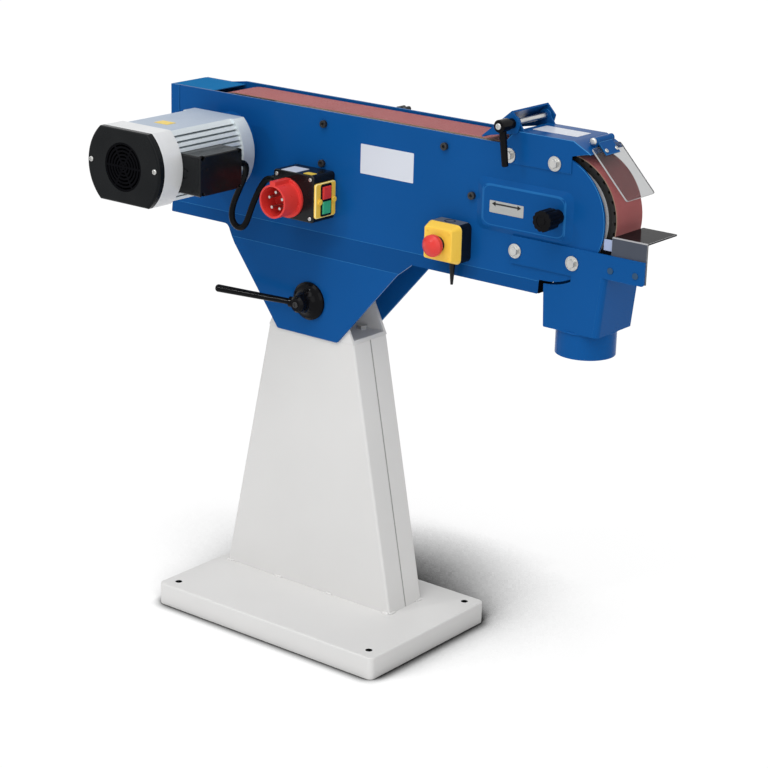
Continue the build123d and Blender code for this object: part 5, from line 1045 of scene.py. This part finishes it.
# Switch box: bezel round the buttons, latch tabs and raised marks
def switch_front():
    bezel = plate("button_bezel", 56.0, 28.0, 1.4, 3.5, 0.5)
    for x in (13.0, -13.0):
        cut(bezel, block("window", (22.6, 21.6, 6.0), (x, 0, 0)))
    complete(set_out("button_bezel", bezel, [(SWITCH_PLATE_X, BUTTONS_Y, BEZEL_Z)], RIGHT), "arm",
             "black_plastic")
    thick = 2.4
    tab = disc("latch_tabs", 5.2, thick, 32)
    round_edges(tab, at_height(thick), 0.8, 3)
    places = [(SWITCH_PLATE_X, y, LATCH_Z) for y in (-42.5, -5.0)]
    complete(set_out("latch_tabs", tab, places, RIGHT), "arm", "yellow_plastic")
    off_mark = set_out("stop_mark", ring("stop_mark", 4.6, 3.5, 0.3), [STOP_BUTTON], RIGHT)
    complete(off_mark, "stop_button", "red_plastic")
    on_mark = set_out("start_mark", plate("start_mark", 8.6, 1.2, 0.3, 0.3, 0.1), [START_BUTTON], RIGHT)
    complete(on_mark, "start_button", "green_plastic")
    knock_out = set_out("estop_knock_out", ring("estop_knock_out", 9.5, 8.2, 0.6),
                        [(ESTOP_X, -12.2, ESTOP_TOP_Z)])
    complete(knock_out, "arm", "black_plastic")


switch_front()


# Raised field of the arm's panel round the belt adjuster, with sloping sides and a lighter rim as a painted
# highlight
def field_rim(centre, normal):
    """True on the round rim of the raised field, which gets a painted highlight."""
    return centre.y < PANEL_Y - FIELD_HEIGHT + 1.0 and (centre.xz - Vector(FIELD)).length > 20.0


def pressed_field():
    field = block("pressed_field", (*FIELD_FOOT, FIELD_HEIGHT), (0, FIELD_RAISED, FIELD_HEIGHT / 2))
    pick(field, "FACE", top_of(FIELD_HEIGHT))
    bpy.ops.transform.resize(value=(FIELD_TOP[0] / FIELD_FOOT[0], FIELD_TOP[1] / FIELD_FOOT[1], 1.0),
                             center_override=(0, 0, FIELD_HEIGHT * MM))
    clear()
    round_edges(field, lambda first, second: abs(first.z - second.z) > 4.0, FIELD_CORNER, 6)
    round_edges(field, at_height(FIELD_HEIGHT), 2.2, 4)
    field = set_out("pressed_field", field, [(FIELD[0], PANEL_Y, FIELD[1])], FRONT)
    complete(field, "arm", "blue_paint")
    repaint(field, field_painted_highlight, field_rim)


pressed_field()


# Pale strip behind the work rest's leg, coloured light lavender as painted light, and its black foot as
# painted shade
def rest_apron():
    for name, height, z, slot, finish in (
            ("rest_apron", 18.0, 794.5, "zinc_steel", rest_strip_painted_light),
            ("rest_painted_shade_foot", 10.0, 780.4, "black_paint", shadow_black)):
        strip = plate(name, 24.0, height, 2.0, 0.8, 0.4)
        complete(set_out(name, strip, [(*APRON, z)], FRONT), "work_rest", slot, finish)


rest_apron()


# Bare plates and foils where the machine carries labels, and the arrow of the belt adjuster
def plates():
    """Blank plates, each with its size, place, turn and finish."""
    sets = (("type_plate", (113.0, 51.0), (125.5, PANEL_Y, 857.5), FRONT, plate_white),
            ("arrow_plate", (67.0, 20.0), (ARROW_X, FIELD_FACE_Y, 822.0), FRONT, plate_silver),
            ("guard_foil", (86.0, 41.0), (440.0, 50.5, GUARD_TOP_Z), UP, plate_white),
            ("switch_foil", (34.0, 36.0), (-45.0, -35.0, SWITCH_TOP_Z), UP, plate_white),
            ("switch_patch", (20.0, 15.0), (-5.0, -43.0, SWITCH_TOP_Z), UP, plate_yellow),
            ("motor_patch", (31.0, 23.0), (-226.5, -167.0, MOTOR_TOP_Z), UP, plate_yellow))
    for name, (length, width), place, turn, finish in sets:
        sheet = plate(name, length, width, PLATE_THICKNESS, 1.5, 0.12)
        complete(set_out(name, sheet, [place], turn), "arm", "zinc_steel", finish)


def adjuster_arrow():
    length, thick = 48.0, 0.15
    line = plate("adjuster_arrow", length, 2.6, thick, 0.2, 0.05)
    heads = []
    for side in (-1, 1):
        head = turned(disc("arrow_head", 4.8, thick, 3), (0, 0, -side * pi / 2))
        head.location.x = side * length / 2 * MM
        heads.append(settle(head))
    arrow = set_out("adjuster_arrow", joined("adjuster_arrow", [line, *heads]),
                    [(ARROW_X, FIELD_FACE_Y - PLATE_THICKNESS, 827.0)], FRONT)
    complete(arrow, "arm", "black_plastic", mark_black)


plates()
adjuster_arrow()


# Welds: tacks at the column's foot and the bead round the outlet pipe
def welds():
    tack = block("column_tacks", (15.0, 5.0, 3.4), (0, 0, 0.9))
    round_edges(tack, at_height(2.6), 1.6, 4)
    round_edges(tack, upright_edge, 2.0, 4)
    side_tack = bpy.data.objects.new("side_tacks", tack.data.copy())
    scene.collection.objects.link(side_tack)
    turned(side_tack, (0, 0, pi / 2))
    front = set_out("column_tacks", tack,
                    [(x, COLUMN_FRONT_Y - 1.2, BASE_TOP_Z) for x in (-221, -103, 19, 151)])
    side = set_out("side_tacks", side_tack, [(COLUMN_RIGHT_X, y, BASE_TOP_Z) for y in (9.0, 88.0)])
    complete(joined("column_tacks", [front, side]), "stand", "grey_paint")
    clear()
    bpy.ops.mesh.primitive_torus_add(major_radius=OUTLET_RADIUS * MM, minor_radius=2.0 * MM,
                                     major_segments=96, minor_segments=12)
    bead = bpy.context.object
    bead.name = bead.data.name = "outlet_bead"
    pick(bead, "FACE", lambda centre, normal: int(centre.xy.angle(Vector((1, 0))) / BEAD_STEP) % 2 == 0)
    bpy.ops.transform.translate(value=(0, 0, -0.5 * MM))
    clear()
    complete(set_out("outlet_bead", bead, [(*OUTLET, HOOD_FOOT[1])]), "arm", "blue_paint")


welds()


# Stage: pale floor, white surroundings and soft light from above and in front
def seen_ray(tree):
    """One where a ray comes from the camera, a mirror surface or clear material."""
    ray = tree.nodes.new("ShaderNodeLightPath")
    first = combined(tree, "MAXIMUM", ray.outputs["Is Camera Ray"], ray.outputs["Is Glossy Ray"])
    return combined(tree, "MAXIMUM", first, ray.outputs["Is Transmission Ray"])


def nearby_shade(tree, reach, towards, low, high, darkest):
    """Shade of the ground from what stands within reach on one side of it."""
    side = tree.nodes.new("ShaderNodeCombineXYZ")
    for label, value in zip("XYZ", Vector(towards).normalized()):
        side.inputs[label].default_value = value
    near = tree.nodes.new("ShaderNodeAmbientOcclusion")
    near.samples = 16
    near.inputs["Distance"].default_value = reach * MM
    tree.links.new(side.outputs[0], near.inputs["Normal"])
    return spread(tree, near.outputs["AO"], low, high, darkest, 1.0)


# Shares of lamp light and own light in the floor that is seen, and the light of the white surroundings
FLOOR_LIT = 0.16
FLOOR_GLOW = 0.87
FILL_LIGHT = 0.38


def floor():
    """White floor that keeps the shade of the machine."""
    clear()
    bpy.ops.mesh.primitive_plane_add(size=60.0, location=(0, 0, -0.0003))
    ground = bpy.context.object
    ground.name = "floor"
    made = bpy.data.materials.new("floor_white")
    made.use_nodes = True
    tree = made.node_tree
    tree.nodes.clear()
    under = nearby_shade(tree, 26.0, (0.0, 0.0, 1.0), 0.5, 0.95, 0.03)
    behind = nearby_shade(tree, 430.0, (0.1, -0.8, 0.45), 0.62, 0.94, 0.05)
    shade = combined(tree, "MULTIPLY", under, behind)
    seen = seen_ray(tree)
    matt = tree.nodes.new("ShaderNodeBsdfDiffuse")
    tree.links.new(combined(tree, "MULTIPLY", shade, spread(tree, seen, *ALL, 0.96, FLOOR_LIT)),
                   matt.inputs["Color"])
    glow = tree.nodes.new("ShaderNodeEmission")
    tree.links.new(combined(tree, "MULTIPLY", shade, spread(tree, seen, *ALL, 0.0, FLOOR_GLOW)),
                   glow.inputs["Strength"])
    both = tree.nodes.new("ShaderNodeAddShader")
    out = tree.nodes.new("ShaderNodeOutputMaterial")
    tree.links.new(matt.outputs[0], both.inputs[0])
    tree.links.new(glow.outputs[0], both.inputs[1])
    tree.links.new(both.outputs[0], out.inputs["Surface"])
    ground.data.materials.append(made)


def surroundings():
    """Surroundings that light the machine less than they show."""
    world = bpy.data.worlds.new("white_studio")
    world.use_nodes = True
    tree = world.node_tree
    tree.nodes.clear()
    choice = tree.nodes.new("ShaderNodeMixShader")
    tree.links.new(seen_ray(tree), choice.inputs[0])
    for index, strength in ((1, FILL_LIGHT), (2, 1.0)):
        light = tree.nodes.new("ShaderNodeBackground")
        light.inputs["Color"].default_value = (1, 1, 1, 1)
        light.inputs["Strength"].default_value = strength
        tree.links.new(light.outputs[0], choice.inputs[index])
    out = tree.nodes.new("ShaderNodeOutputWorld")
    tree.links.new(choice.outputs[0], out.inputs["Surface"])
    scene.world = world


def sun(name, towards, strength, width):
    """Distant soft lamp that shines from a direction."""
    lamp = bpy.data.lights.new(name, "SUN")
    lamp.energy = strength
    lamp.angle = radians(width)
    holder = bpy.data.objects.new(name, lamp)
    scene.collection.objects.link(holder)
    holder.rotation_euler = Vector(towards).to_track_quat("Z", "Y").to_euler()


floor()
surroundings()
sun("key_lamp", (0.05, -0.42, 0.9), 1.65, 50.0)
sun("edge_lamp", (-0.4, -0.8, 0.5), 0.35, 4.0)
sun("fill_lamp", (0.65, -0.6, 0.35), 0.65, 50.0)
scene.view_settings.view_transform = "Standard"
